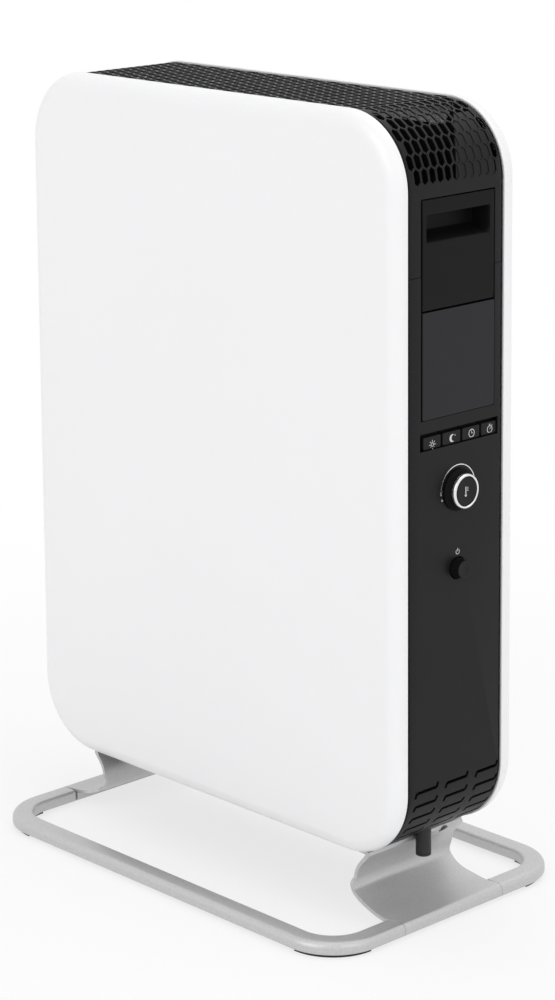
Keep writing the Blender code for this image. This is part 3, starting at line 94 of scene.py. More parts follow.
class HeaterSizes(bpy.types.PropertyGroup):
    """Sizes of the heater's visible detail."""

    corner_radius: length("Corner radius", "Radius of the panels' corners", 0.0597)
    case_wall: length("Casing wall", "Thickness of the black mouldings", 0.0025)
    panel_sheet: length("Panel sheet", "Thickness of the panels' steel", 0.0012)
    panel_lip: length("Panel lip", "Straight edge of a panel before its crown", 0.0015)
    front_crown: length("Front crown", "Width of the front panel's rounded border", 0.0130)
    rear_crown: length("Rear crown", "Width of the rear panel's rounded border", 0.0300)
    channel_width: length("Shadow channel", "Width of the channel beside each panel", 0.0018)
    channel_round: length("Casing edge", "Radius of the casing's edge at the channel", 0.0015)
    grille_rows: IntProperty(
        name="Grille rows", description="Rows of holes from side to side", default=41, min=3
    )
    grille_columns: IntProperty(
        name="Grille columns", description="Holes across the depth", default=12, min=2
    )
    grille_pitch: length("Grille pitch", "Distance between holes across the depth", 0.0083)
    grille_shift: length("Grille shift", "How far back the rows of holes sit", 0.0005)
    grille_sheet: length("Grille sheet", "Thickness of the honeycomb moulding", 0.0011)
    grille_hole: length("Grille hole", "Width of a hole", 0.0060)
    grille_point: length("Hole point", "Length of a hole's pointed end", 0.0024)
    grille_bar: length("Zigzag bar", "Width of the bars between rows", 0.0017)
    grille_border: length("Grille border", "Least bar beside the panels", 0.0036)
    grille_end_drop: length("Grille end", "How far the holes reach down the corners", 0.0547)
    blind_front: length("Blind start", "Where the lowest blind holes start", 0.0007)
    blind_rear: length("Blind end", "Where the blind holes end behind the middle", 0.0440)
    blind_reach: length("Blind reach", "How far the blind holes reach up the corner", 0.0560)
    blind_depth: length("Blind depth", "Depth of the blind holes", 0.0006)
    slot_length: length("Slot length", "Length of an air slot between its bends", 0.0232)
    slot_width: length("Slot width", "Width of an air slot", 0.0026)
    slot_hook: length("Slot hook", "Length of the bent end of an air slot", 0.0030)
    insert_gap: length("Insert gap", "Gap above and below the inserts and the display", 0.0012)
    shadow_gap: length("Shadow gap", "Wider gap along their front edge", 0.0018)
    key_drop: length("Key drop", "Gap above the keys", 0.0020)
    recess_depth: length("Recess depth", "Depth of the finger recess", 0.0180)
    recess_height: length("Recess height", "Height of the finger recess", 0.0236)
    recess_drop: length("Recess drop", "How far the recess starts below its insert", 0.0117)
    recess_margin: length("Recess margin", "Bar beside the finger recess", 0.0052)
    dial_ring: length("Dial ring", "Width of the dial's bright ring", 0.0020)
    rail_width: length("Rail width", "Width of the stand's rail", 0.018)
    rail_round: length("Rail rounding", "Radius of the rail's outer top edge", 0.0050)
    rail_lift: length("Rail lift", "How far the rail's underside is raised off its feet", 0.0005)
    ring_corner: length("Ring corner", "Outer radius of the stand's corners", 0.046)
    bracket_sheet: length("Bracket sheet", "Thickness of the brackets' sheet", 0.0030)


class HeaterColours(bpy.types.PropertyGroup):
    """Colours of the heater's finishes."""

    enamel: colour("Enamel", "White stove enamel of the panels", (0.84, 0.84, 0.85))
    plastic: colour("Casing", "Black moulded plastic", (0.0085, 0.0085, 0.0090))
    # The insert colour is also painted shade on the dark sheets inside the panels.
    insert: colour("Inserts", "Darker moulded plastic", (0.0060, 0.0060, 0.0064))
    glass: colour("Display", "Smoked display window", (0.0095, 0.0090, 0.0125))
    trim: colour("Trim", "Turned aluminium of the dial", (0.80, 0.80, 0.81))
    silver: colour("Stand", "Silver paint of the stand", (0.54, 0.54, 0.545))
    # Dark grip plastic of the dial, made darker as painted shade on its side; also painted shade on
    # the keys' skirts and the power button's side.
    grip: colour("Grips", "Soft dark grip of the dial and the button", (0.0032, 0.0032, 0.0034))
    gland: colour("Gland", "Dark grey of the cable gland", (0.022, 0.022, 0.023))
    # The rubber colour is also painted shade on the plug in each bracket's access slot.
    rubber: colour("Rubber", "Black rubber of the feet", (0.012, 0.012, 0.012))
    steel: colour("Steel", "Zinc plated steel inside", (0.50, 0.50, 0.51))
    brass: colour("Brass", "Brass fittings of the core", (0.60, 0.45, 0.19))
    board: colour("Board", "Control board", (0.02, 0.13, 0.06))
    pale: colour("Pale plastic", "Switches and housings inside", (0.58, 0.56, 0.51))
    # The core's dark grey is painted shade: it keeps the inside seen through the grille dark.
    core: colour("Core", "Dark paint of the oil-filled core", (0.035, 0.035, 0.037))
    marks: colour("Marks", "Printed marks on the controls", (0.62, 0.62, 0.62))
    floor: colour("Floor", "Floor of the stage", (0.90, 0.90, 0.90))


# Finishes


NOISE_ROUGHNESS = 0.55
NOISE_REACH = (0.3, 0.7)


def joined(tree, start, end):
    """Links two sockets."""
    tree.links.new(start, end)


def grain_of(tree, scale, detail, stretch=(1, 1, 1)):
    """A noise at a scale per metre, in the piece's own place."""
    place = tree.nodes.new("ShaderNodeTexCoord")
    spread = tree.nodes.new("ShaderNodeMapping")
    spread.inputs["Scale"].default_value = stretch
    joined(tree, place.outputs["Object"], spread.inputs["Vector"])
    noise = tree.nodes.new("ShaderNodeTexNoise")
    noise.inputs["Scale"].default_value = scale
    noise.inputs["Detail"].default_value = detail
    noise.inputs["Roughness"].default_value = NOISE_ROUGHNESS
    joined(tree, spread.outputs["Vector"], noise.inputs["Vector"])
    return noise.outputs["Fac"]


def calculated(tree, operation, *values):
    """The outcome of a sum on sockets and plain numbers."""
    node = tree.nodes.new("ShaderNodeMath")
    node.operation = operation
    for socket, value in zip(node.inputs, values):
        if isinstance(value, float):
            socket.default_value = value
        else:
            joined(tree, value, socket)
    return node.outputs["Value"]


def spread_to(tree, value, low, high, reach=NOISE_REACH, kind="LINEAR"):
    """A value's reach, spread between two numbers."""
    node = tree.nodes.new("ShaderNodeMapRange")
    node.interpolation_type = kind
    for socket, number in zip(("From Min", "From Max", "To Min", "To Max"), (*reach, low, high)):
        node.inputs[socket].default_value = number
    joined(tree, value, node.inputs["Value"])
    return node.outputs["Result"]


def tinted(tree, value, tint, change):
    """A colour that varies a little either way with a value."""
    mix = tree.nodes.new("ShaderNodeMix")
    mix.data_type = "RGBA"
    mix.inputs["A"].default_value = (*[part * (1 - change) for part in tint], 1)
    mix.inputs["B"].default_value = (*[min(1, part * (1 + change)) for part in tint], 1)
    joined(tree, value, mix.inputs["Factor"])
    return mix.outputs["Result"]


def raised(tree, shader, value, depth, strength):
    """Bumps a shader by a value, a depth in metres."""
    bump = tree.nodes.new("ShaderNodeBump")
    bump.inputs["Strength"].default_value = strength
    bump.inputs["Distance"].default_value = depth
    joined(tree, value, bump.inputs["Height"])
    joined(tree, bump.outputs["Normal"], shader.inputs["Normal"])


def surface(name, tint, roughness, recipe):
    """A finish with its grain, unevenness and clouding, made once."""
    made = bpy.data.materials.get(name)
    if made:
        return made
    made = bpy.data.materials.new(name)
    made.use_nodes = True
    made.diffuse_color = (*tint, 1)
    tree = made.node_tree
    shader = tree.nodes["Principled BSDF"]
    for socket, value in recipe.get("sockets", {}).items():
        shader.inputs[socket].default_value = value
    clouds = grain_of(tree, recipe["cloud_scale"], 3)
    fine = grain_of(
        tree, recipe["grain_scale"], recipe.get("grain_detail", 2),
        stretch=recipe.get("stretch", (1, 1, 1)),
    )
    cloudy = spread_to(tree, clouds, 0, 1)
    joined(tree, tinted(tree, cloudy, tint, recipe["clouding"]), shader.inputs["Base Color"])
    uneven = recipe["uneven"]
    source = fine if recipe.get("grain_shines") else clouds
    joined(
        tree, spread_to(tree, source, roughness - uneven, roughness + uneven),
        shader.inputs["Roughness"],
    )
    raised(tree, shader, fine, recipe["grain_depth"], recipe.get("grain_strength", 1.0))
    return made


RECIPES = {
    "white_enamel": ("enamel", 0.34, {
        "cloud_scale": 6, "clouding": 0.006, "grain_scale": 420, "grain_depth": 0.00002,
        "grain_strength": 0.35, "uneven": 0.03,
        "sockets": {"Coat Weight": 0.25, "Coat Roughness": 0.12},
    }),
    "black_case": ("plastic", 0.40, {
        "cloud_scale": 22, "clouding": 0.10, "grain_scale": 2600, "grain_depth": 0.00003,
        "grain_detail": 3, "uneven": 0.04, "sockets": {"Specular IOR Level": 0.16},
    }),
    "dark_insert": ("insert", 0.46, {
        "cloud_scale": 25, "clouding": 0.10, "grain_scale": 3000, "grain_depth": 0.00003,
        "grain_detail": 3, "uneven": 0.04, "sockets": {"Specular IOR Level": 0.10},
    }),
    "smoked_window": ("glass", 0.14, {
        "cloud_scale": 14, "clouding": 0.06, "grain_scale": 60, "grain_depth": 0.00001,
        "grain_strength": 0.2, "uneven": 0.02,
        "sockets": {"Specular IOR Level": 0.16, "Coat Weight": 0.15, "Coat Roughness": 0.05},
    }),
    "bright_trim": ("trim", 0.24, {
        "cloud_scale": 60, "clouding": 0.05, "grain_scale": 2200, "grain_depth": 0.00001,
        "grain_shines": True, "uneven": 0.05, "stretch": (9, 1, 1),
        "sockets": {"Metallic": 1.0},
    }),
    "silver_paint": ("silver", 0.42, {
        "cloud_scale": 900, "clouding": 0.09, "grain_scale": 4200, "grain_depth": 0.00003,
        "grain_detail": 1, "grain_shines": True, "uneven": 0.06,
        "sockets": {"Metallic": 0.58, "Coat Weight": 0.10, "Coat Roughness": 0.2},
    }),
    # Dark grip of the dial, darkened as painted shade, and painted shade on the keys' skirts and the
    # power button's side.
    "soft_grip": ("grip", 0.62, {
        "cloud_scale": 90, "clouding": 0.10, "grain_scale": 3000, "grain_depth": 0.00003,
        "uneven": 0.05, "sockets": {"Specular IOR Level": 0.09},
    }),
    "gland_grey": ("gland", 0.48, {
        "cloud_scale": 60, "clouding": 0.10, "grain_scale": 2800, "grain_depth": 0.00003,
        "uneven": 0.05, "sockets": {"Specular IOR Level": 0.3},
    }),
    "black_rubber": ("rubber", 0.78, {
        "cloud_scale": 60, "clouding": 0.12, "grain_scale": 1400, "grain_depth": 0.00008,
        "uneven": 0.05,
    }),
    "core_grey": ("core", 0.50, {
        "cloud_scale": 30, "clouding": 0.15, "grain_scale": 900, "grain_depth": 0.00005,
        "uneven": 0.05,
    }),
    "plated_steel": ("steel", 0.36, {
        "cloud_scale": 45, "clouding": 0.12, "grain_scale": 700, "grain_depth": 0.00004,
        "uneven": 0.08, "sockets": {"Metallic": 1.0},
    }),
    "brass": ("brass", 0.36, {
        "cloud_scale": 80, "clouding": 0.12, "grain_scale": 1100, "grain_depth": 0.00003,
        "uneven": 0.07, "sockets": {"Metallic": 1.0},
    }),
    "board_green": ("board", 0.42, {
        "cloud_scale": 260, "clouding": 0.25, "grain_scale": 1500, "grain_depth": 0.00004,
        "uneven": 0.06,
    }),
    "pale_plastic": ("pale", 0.50, {
        "cloud_scale": 50, "clouding": 0.05, "grain_scale": 1800, "grain_depth": 0.00004,
        "uneven": 0.05,
    }),
    "printed_mark": ("marks", 0.55, {
        "cloud_scale": 400, "clouding": 0.05, "grain_scale": 3500, "grain_depth": 0.00001,
        "uneven": 0.05,
    }),
}


def finish(name):
    """One of the heater's finishes, in its colour from the sidebar."""
    key, roughness, recipe = RECIPES[name]
    tint = tuple(getattr(bpy.context.scene.heater_colours, key))
    return surface(f"{name}_finish", tint, roughness, recipe)


# Shared tools


def placed(name, data):
    """A new object in the scene."""
    made = bpy.data.objects.new(name, data)
    bpy.context.scene.collection.objects.link(made)
    return made


def piece_from(work, name, finish_name, body, nodes=(), sharp_deg=35):
    """Turns a bmesh, drawn in the row frame, into a piece that rides on a body."""
    mesh = bpy.data.meshes.new(name)
    work.to_mesh(mesh)
    work.free()
    mesh.materials.append(finish(finish_name))
    mesh.shade_smooth()
    mesh.set_sharp_from_angle(angle=math.radians(sharp_deg))
    piece = placed(name, mesh)
    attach(piece, body)
    if nodes:
        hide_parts(*nodes)
    return piece


def arc(centre, radius, start_deg, end_deg, steps):
    """Points along an arc, both ends counted."""
    points = []
    for step in range(steps + 1):
        angle = math.radians(start_deg + (end_deg - start_deg) * step / steps)
        points.append(
            (centre[0] + radius * math.cos(angle), centre[1] + radius * math.sin(angle))
        )
    return points


def rounded_rectangle(half_width, half_height, radius, steps):
    """Points round a rectangle with rounded corners, anticlockwise."""
    points = []
    for side_x, side_y, start in ((1, -1, -90), (1, 1, 0), (-1, 1, 90), (-1, -1, 180)):
        centre = (side_x * (half_width - radius), side_y * (half_height - radius))
        points += arc(centre, radius, start, start + 90, steps)
    return points


def bridged(work, loops, closed=True):
    """Faces between each loop of vertices and the next."""
    count = len(loops[0])
    for first, second in zip(loops, loops[1:]):
        for place in range(count if closed else count - 1):
            after = (place + 1) % count
            corners = [first[place], first[after], second[after], second[place]]
            unique = list(dict.fromkeys(corners))
            if len(unique) > 2:
                work.faces.new(unique)


def turned(work, profile, matrix, steps):
    """Turns (radius, distance along the axis) pairs about the matrix's own X axis."""
    loops = []
    for radius, along in profile:
        if radius < WELD:
            loops.append([work.verts.new(matrix @ Vector((along, 0, 0)))] * steps)
            continue
        ring = circle((0, 0), radius, steps)
        loops.append([work.verts.new(matrix @ Vector((along, y, z))) for y, z in ring])
    bridged(work, loops)
    bmesh.ops.recalc_face_normals(work, faces=work.faces[:])


def rod(work, radius, start, end, matrix, steps):
    """A plain round rod between two distances along the matrix's own X axis."""
    turned(work, [(0, start), (radius, start), (radius, end), (0, end)], matrix, steps)


def welded(work):
    """Joins the corners that lie on one another."""
    bmesh.ops.remove_doubles(work, verts=work.verts, dist=WELD)


def scored(work, place, normal):
    """Adds edges to every face that a plane crosses."""
    bmesh.ops.bisect_plane(
        work, geom=work.verts[:] + work.edges[:] + work.faces[:], dist=WELD,
        plane_co=place, plane_no=normal,
    )


def inside(loop, x, y):
    """Whether a flat point lies inside a closed loop."""
    within = False
    for (x1, y1), (x2, y2) in zip(loop, loop[1:] + loop[:1]):
        if (y1 > y) != (y2 > y) and x < x1 + (y - y1) * (x2 - x1) / (y2 - y1):
            within = not within
    return within


def flat_sheet(loops, thickness, chamfer=0.0):
    """A sheet from height zero down: the first loop is its outline and the rest are holes."""
    points = []
    edges = []
    owners = []
    for number, loop in enumerate(loops):
        start = len(points)
        points += [Vector(place) for place in loop]
        edges += [(start + step, start + (step + 1) % len(loop)) for step in range(len(loop))]
        owners += [number] * len(loop)
    flat = delaunay_2d_cdt(points, edges, [], 0, WELD)
    work = bmesh.new()
    corners = [work.verts.new((x, y, 0)) for x, y in flat[0]]
    for face in flat[2]:
        near = {owners[flat[3][corner][0]] for corner in face}
        x = sum(flat[0][corner].x for corner in face) / len(face)
        y = sum(flat[0][corner].y for corner in face) / len(face)
        if len(near) > 1 or inside(loops[min(near)], x, y) == (near == {0}):
            work.faces.new([corners[corner] for corner in face])
    loose = [corner for corner in work.verts if not corner.link_faces]
    bmesh.ops.delete(work, geom=loose, context="VERTS")
    lowered = bmesh.ops.extrude_face_region(work, geom=work.faces[:])["geom"]
    bmesh.ops.translate(
        work, vec=(0, 0, -thickness),
        verts=[corner for corner in lowered if isinstance(corner, bmesh.types.BMVert)],
    )
    bmesh.ops.recalc_face_normals(work, faces=work.faces[:])
    if chamfer:
        rim = [
            edge for edge in work.edges
            if edge.verts[0].co.z > -WELD and edge.verts[1].co.z > -WELD
            and any(abs(face.normal.z) < 0.5 for face in edge.link_faces)
        ]
        bmesh.ops.bevel(
            work, geom=rim, offset=chamfer, segments=1, profile=0.5, affect="EDGES",
            clamp_overlap=True,
        )
    return work


def strip(points, width):
    """The two sides of a ribbon along flat points, as (left, right) lists."""
    left = []
    right = []
    for place, point in enumerate(points):
        before = points[max(place - 1, 0)]
        after = points[min(place + 1, len(points) - 1)]
        run = Vector((after[0] - before[0], after[1] - before[1])).normalized() * width / 2
        left.append((point[0] - run.y, point[1] + run.x))
        right.append((point[0] + run.y, point[1] - run.x))
    return left, right


def stroke(points, width, cap_steps=5):
    """A closed outline round a line, with round ends."""
    left, right = strip(points, width)
    turns = []
    for end, other in ((points[-1], points[-2]), (points[0], points[1])):
        turns.append(math.degrees(math.atan2(end[1] - other[1], end[0] - other[0])))
    last = arc(points[-1], width / 2, turns[0] - 90, turns[0] + 90, cap_steps)[1:-1]
    first = arc(points[0], width / 2, turns[1] - 90, turns[1] + 90, cap_steps)[1:-1]
    return right + last + left[::-1] + first


def carved(piece, cutter):
    """Cuts a closed bmesh, drawn in the row frame, out of a piece for good."""
    mesh = bpy.data.meshes.new("cutter")
    cutter.to_mesh(mesh)
    cutter.free()
    tool = placed("cutter", mesh)
    boolean = piece.modifiers.new("Cut", "BOOLEAN")
    boolean.operation = "DIFFERENCE"
    boolean.solver = "EXACT"
    boolean.use_self = True
    boolean.object = tool
    bpy.context.view_layer.update()
    graph = bpy.context.evaluated_depsgraph_get()
    result = bpy.data.meshes.new_from_object(piece.evaluated_get(graph))
    piece.modifiers.clear()
    piece.data = result
    bpy.data.objects.remove(tool)


def soft_edges(piece, width):
    """Rounds a piece's sharp edges."""
    bevel = piece.modifiers.new("Soft edges", "BEVEL")
    bevel.width = width
    bevel.segments = 2
    bevel.limit_method = "ANGLE"
    bevel.angle_limit = math.radians(50)
    bevel.harden_normals = False


def shelled(piece, thickness):
    """Gives a piece's skin its thickness, inwards."""
    shell = piece.modifiers.new("Sheet", "SOLIDIFY")
    shell.thickness = thickness
    shell.offset = -1


def faced(work, axis, side):
    """Turns the faces so that the largest one looks along an axis, 0 for X or 1 for Y."""
    bmesh.ops.recalc_face_normals(work, faces=work.faces[:])
    work.normal_update()
    largest = max(work.faces, key=lambda face: face.calc_area())
    if largest.normal[axis] * side < 0:
        bmesh.ops.reverse_faces(work, faces=work.faces[:])


def upright(x, y, z=0):
    """Stands the axis of a turned form up at a place."""
    return Matrix.Translation((x, y, z)) @ Matrix.Rotation(-QUARTER_TURN, 4, "Y")


def node_middle(node):
    """Middle of a node's box."""
    low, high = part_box(node)
    return (low + high) / 2


# The casing is drawn flat, as distance along the outline and depth, and bent round afterwards


def case_radius():
    """Radius of the casing's corners, inside the panels' by the casing's inset."""
    inset = PANEL_HIGH.x - CASING_HIGH.x
    return bpy.context.scene.heater_sizes.corner_radius - inset


def outline_place(along, outward):
    """X and Z at a distance along the outline from the top's middle, towards the controls."""
    radius = case_radius()
    flat = CASE_HALF_WIDTH - radius
    rise = CASE_HALF_HEIGHT - radius
    quarter = radius * QUARTER_TURN
    side = math.copysign(1, along)
    along = abs(along)
    reach = radius + outward
    if along <= flat:
        x, z = along, CASE_HALF_HEIGHT + outward
    elif along <= flat + quarter:
        angle = (along - flat) / radius
        x, z = flat + reach * math.sin(angle), rise + reach * math.cos(angle)
    elif along <= flat + quarter + 2 * rise:
        x, z = CASE_HALF_WIDTH + outward, rise - (along - flat - quarter)
    elif along <= flat + 2 * quarter + 2 * rise:
        angle = (along - flat - quarter - 2 * rise) / radius
        x, z = flat + reach * math.cos(angle), -rise - reach * math.sin(angle)
    else:
        x, z = flat - (along - flat - 2 * quarter - 2 * rise), -CASE_HALF_HEIGHT - outward
    return CENTRE_X + side * x, MIDDLE_Z + z


def side_along(height):
    """Distance along the outline at a height on the flat stretch of a side."""
    radius = case_radius()
    flat = CASE_HALF_WIDTH - radius
    return flat + radius * QUARTER_TURN + (CASE_HALF_HEIGHT - radius) - (height - MIDDLE_Z)


def bottom_along(x):
    """Distance along the outline at a place on the underside, from the middle outwards."""
    radius = case_radius()
    flat = CASE_HALF_WIDTH - radius
    end = flat + radius * math.pi + 2 * (CASE_HALF_HEIGHT - radius)
    return end + flat - abs(x - CENTRE_X)


def bent_casing(loops, start, end, name, node, wall, chamfer):
    """A moulding of the casing, bent round, with a shadow channel beside both panels."""
    sizes = bpy.context.scene.heater_sizes
    thin = wall < sizes.channel_round
    work = flat_sheet(loops, wall, chamfer)
    radius = case_radius()
    flat = CASE_HALF_WIDTH - radius
    quarter = radius * QUARTER_TURN
    lower = flat + quarter + 2 * (CASE_HALF_HEIGHT - radius)
    bend_steps = 18
    bends = [
        corner + quarter * step / bend_steps
        for corner in (flat, lower) for step in range(bend_steps + 1)
    ]
    bends = [place * side for place in bends for side in (1, -1) if start < place * side < end]
    edge = sizes.channel_round
    shore = BAND_HALF - sizes.channel_width
    edge_shares = (0, 1, 0.08, 0.3, 0.62)
    depths = [shore - edge * share for share in edge_shares]
    cuts = [((place, 0, 0), (1, 0, 0)) for place in bends]
    cuts += [((0, depth * side, 0), (0, 1, 0)) for depth in depths for side in (1, -1)]
    for place, normal in cuts:
        scored(work, place, normal)
    for corner in work.verts:
        along, depth, height = corner.co
        inward = shore - abs(depth)
        if (thin or height > -wall / 2) and inward < edge:
            height -= edge - math.sqrt(max(0, edge**2 - (edge - max(inward, 0)) ** 2))
        x, z = outline_place(along, height)
        corner.co = (x, BAND_Y + depth, z)
    return piece_from(work, name, "black_case", "heater", [node], 30)


def rectangle(left, bottom, right, top):
    """A rectangle's four corners."""
    return [(left, bottom), (right, bottom), (right, top), (left, top)]


def circle(centre, radius, steps):
    """Points round a whole circle."""
    return arc(centre, radius, 0, 360, steps)[:-1]


def fascia_edges():
    """Depths of the fascia opening's two edges from the band's middle."""
    low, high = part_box("display_window")
    return low.y - FIT_GAP - BAND_Y, high.y + FIT_GAP - BAND_Y


# Panels


def pressed_panel(name, facing, crown):
    """A pressed pan: folded hem, short lip, soft crown and flat face, as rings joined up."""
    sizes = bpy.context.scene.heater_sizes
    low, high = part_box(name)
    depth = high.y - low.y
    back = high.y if facing < 0 else low.y
    lip = sizes.panel_lip
    fold = 0.0005
    fold_turns = (0.5, 1.1, 1.57)
    hem_width = 0.0030
    hem_flat = 0.0012
    hem_slack = 0.0002
    crown_steps = 24
    crown_power = 0.96
    flat_shares = (1.12, 1.5)
    corner_steps = 28
    stations = [(hem_width, hem_slack), (hem_flat, 0), (fold, 0)]
    stations += [(fold * (1 - math.sin(t)), fold * (1 - math.cos(t))) for t in fold_turns]
    stations += [(0, lip)]
    for step in range(1, crown_steps + 1):
        turn = QUARTER_TURN * step / crown_steps
        rise = (depth - lip) * math.sin(turn) ** crown_power
        stations.append((crown * (1 - math.cos(turn)), lip + rise))
    stations += [(crown * share, depth) for share in flat_shares]
    work = bmesh.new()
    loops = []
    for inset, outward in stations:
        ring = rounded_rectangle(
            (high.x - low.x) / 2 - inset, (high.z - low.z) / 2 - inset,
            sizes.corner_radius - inset, corner_steps,
        )
        y = back + facing * outward
        loops.append([work.verts.new((CENTRE_X + x, y, MIDDLE_Z + z)) for x, z in ring])
    bridged(work, loops)
    work.faces.new(loops[-1])
    faced(work, 1, facing)
    panel = piece_from(work, f"{name}_sheet", "white_enamel", "heater", [name], 50)
    shelled(panel, sizes.panel_sheet)


class HEATER_OT_panels(bpy.types.Operator):
    """Make the two pressed white panels."""

    bl_idname = "heater.panels"
    bl_label = "Panels"

    def execute(self, context):
        sizes = context.scene.heater_sizes
        pressed_panel("front_panel", -1, sizes.front_crown)
        pressed_panel("rear_panel", 1, sizes.rear_crown)
        return {"FINISHED"}


# Grille and casing


def hexagon(along, depth, half_length, sizes):
    """A long hexagon with its points along the outline, cut straight beside the panels."""
    half = sizes.grille_hole / 2
    limit = BAND_HALF - sizes.grille_border
    low = max(depth - half, -limit)
    high = min(depth + half, limit)
    low_shoulder = half_length - sizes.grille_point * (depth - low) / half
    high_shoulder = half_length - sizes.grille_point * (high - depth) / half
    corners = [
        (-half_length, depth), (-low_shoulder, low), (low_shoulder, low),
        (half_length, depth), (high_shoulder, high), (-high_shoulder, high),
    ]
    return [(along + place, across) for place, across in corners]


class HEATER_OT_grille(bpy.types.Operator):
    """Make the honeycomb top moulding with its blind holes over the electronics."""

    bl_idname = "heater.grille"
    bl_label = "Top grille"

    def execute(self, context):
        sizes = context.scene.heater_sizes
        radius = case_radius()
        flat = CASE_HALF_WIDTH - radius
        inset = PANEL_HIGH.x - CASING_HIGH.x
        limit = flat + radius * math.acos((radius - sizes.grille_end_drop + inset) / radius)
        end = side_along(SEAM_Z) - SEAM_GAP
        notch = side_along(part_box("handle_insert")[1].z + FIT_GAP)
        low, high = fascia_edges()
        slope = math.atan2(sizes.grille_point, sizes.grille_hole / 2)
        rise = sizes.grille_bar / math.cos(slope)
        overlap = sizes.grille_point * sizes.grille_pitch / sizes.grille_hole
        row_pitch = (2 * limit - overlap + rise) / sizes.grille_rows
        half_length = (row_pitch + overlap - rise) / 2
        holes = []
        for row in range(sizes.grille_rows):
            along = half_length - limit + row * row_pitch
            columns = sizes.grille_columns - 1 + row % 2
            for column in range(columns):
                depth = (column - (columns - 1) / 2) * sizes.grille_pitch + sizes.grille_shift
                holes.append(hexagon(along, depth, half_length, sizes))
        face = BAND_HALF
        steps = 4 * sizes.grille_rows
        edge = [limit * (2 * step / steps - 1) for step in range(steps + 1)]
        outline = [(-end, -face)] + [(along, -face) for along in edge]
        outline += [(end, -face), (end, low), (notch, low), (notch, high), (end, high)]
        outline += [(end, face)] + [(along, face) for along in reversed(edge)]
        outline += [(-end, face), (-end, high), (-notch, high), (-notch, low), (-end, low)]
        chamfer = 0.0002
        bent_casing(
            [outline] + holes, -end, end, "honeycomb_top", "top_grille", sizes.grille_sheet,
            chamfer,
        )
        self.blind_back(limit)
        self.painted_shade_sheets()
        return {"FINISHED"}

    def blind_back(self, limit):
        """The wall close behind the grille over the control side's corner."""
        sizes = bpy.context.scene.heater_sizes
        steps = 24
        slant = 0.94
        least_width = 0.004
        lowest_x = outline_place(limit, 0)[0]
        places = [limit - sizes.blind_reach * (1 - step / steps) for step in range(steps + 1)]
        front = [
            (place, sizes.blind_front + slant * (lowest_x - outline_place(place, 0)[0]))
            for place in places
        ]
        front = [
            (place, depth) for place, depth in front if depth < sizes.blind_rear - least_width
        ]
        rear = [(place, sizes.blind_rear) for place, depth in reversed(front)]
        back = flat_sheet([front + rear], sizes.grille_sheet)
        for place in places:
            scored(back, (place, 0, 0), (1, 0, 0))
        for corner in back.verts:
            along, depth, height = corner.co
            x, z = outline_place(along, height - sizes.blind_depth)
            corner.co = (x, BAND_Y + depth, z)
        piece_from(back, "blind_holes_back", "black_case", "heater", ["grille_baffle"], 30)

    def painted_shade_sheets(self):
        """Dark sheets inside the panels, below the light that falls through the grille: painted
        shade, which keeps the inside seen through the holes dark.
        """
        inset = 0.0065
        opening_drop = 0.024
        opening_slope = 0.004
        thickness = 0.0008
        panel_gap = 0.0002
        half = PANEL_HIGH.x - CENTRE_X - inset
        low = PANEL_LOW.z - MIDDLE_Z + inset
        round_off = bpy.context.scene.heater_sizes.corner_radius - inset
        flat = half - round_off
        lower = low + round_off
        opening = PANEL_HIGH.z - MIDDLE_Z - opening_drop
        outline = arc((flat, lower), round_off, -90, 0, 12)
        outline += arc((flat, -lower), round_off, 0, 82, 12)
        outline += [(flat - opening_slope, opening), (opening_slope - flat, opening)]
        outline += arc((-flat, -lower), round_off, 98, 180, 12)
        outline += arc((-flat, lower), round_off, 180, 270, 12)
        stand = Matrix.Rotation(QUARTER_TURN, 4, "X") @ Matrix.Translation((0, 0, thickness / 2))
        for name, side in (("front_liner", -1), ("rear_liner", 1)):
            place = (CENTRE_X, BAND_Y + side * (BAND_HALF - panel_gap), MIDDLE_Z)
            work = flat_sheet([outline], thickness)
            work.transform(Matrix.Translation(place) @ stand)
            # The dark insert finish on these sheets is painted shade for the dark inside of the
            # casing.
            piece_from(work, name, "dark_insert", "heater")


SLOT_COLUMNS = (-0.0310, 0.0026, 0.0366)
SLOT_TOP = 0.1185
SLOT_PITCH = 0.0115
SLOT_ROWS = 6
SLOT_BEND_SHARE = 0.55
SLOT_TIP_SHARE = 0.22
COVER_SLOT_ROWS = 6
COVER_SLOT_PITCH = 0.014
KEY_ROW_FRONT = -0.0450
KEY_ROW_REAR = 0.0413


def air_slot(along, depth, sizes):
    """An air slot whose front end bends down and whose rear end bends up."""
    half = sizes.slot_length / 2
    hook = sizes.slot_hook
    bend = hook * SLOT_BEND_SHARE
    tip = hook * SLOT_TIP_SHARE
    line = [(-half - tip, hook), (-half, bend)]
    line += arc((-half + bend, bend), bend, 180, 270, 4)[1:]
    line += [(0, 0)]
    line += arc((half - bend, -bend), bend, 90, 0, 4)
    line += [(half + tip, -hook)]
    return [(along + down, depth + across) for across, down in stroke(line, sizes.slot_width)]


def corner_slots(sizes, gland):
    """Rows of air slots round a lower corner, one left out where the gland comes through."""
    slots = []
    for row in range(SLOT_ROWS):
        for column, depth in enumerate(SLOT_COLUMNS):
            if gland and row == SLOT_ROWS - 1 and column == 1:
                continue
            slots.append(air_slot(side_along(SLOT_TOP) + row * SLOT_PITCH, depth, sizes))
    return slots


def screw_holes(end):
    """Clearance holes in the casing's floor for two stand screws."""
    holes = []
    for row in ("front", "rear"):
        screw = node_middle(f"stand_screw_{end}_{row}")
        holes.append(circle((bottom_along(screw.x), screw.y - BAND_Y), SCREW_HOLE_RADIUS, 16))
    return holes


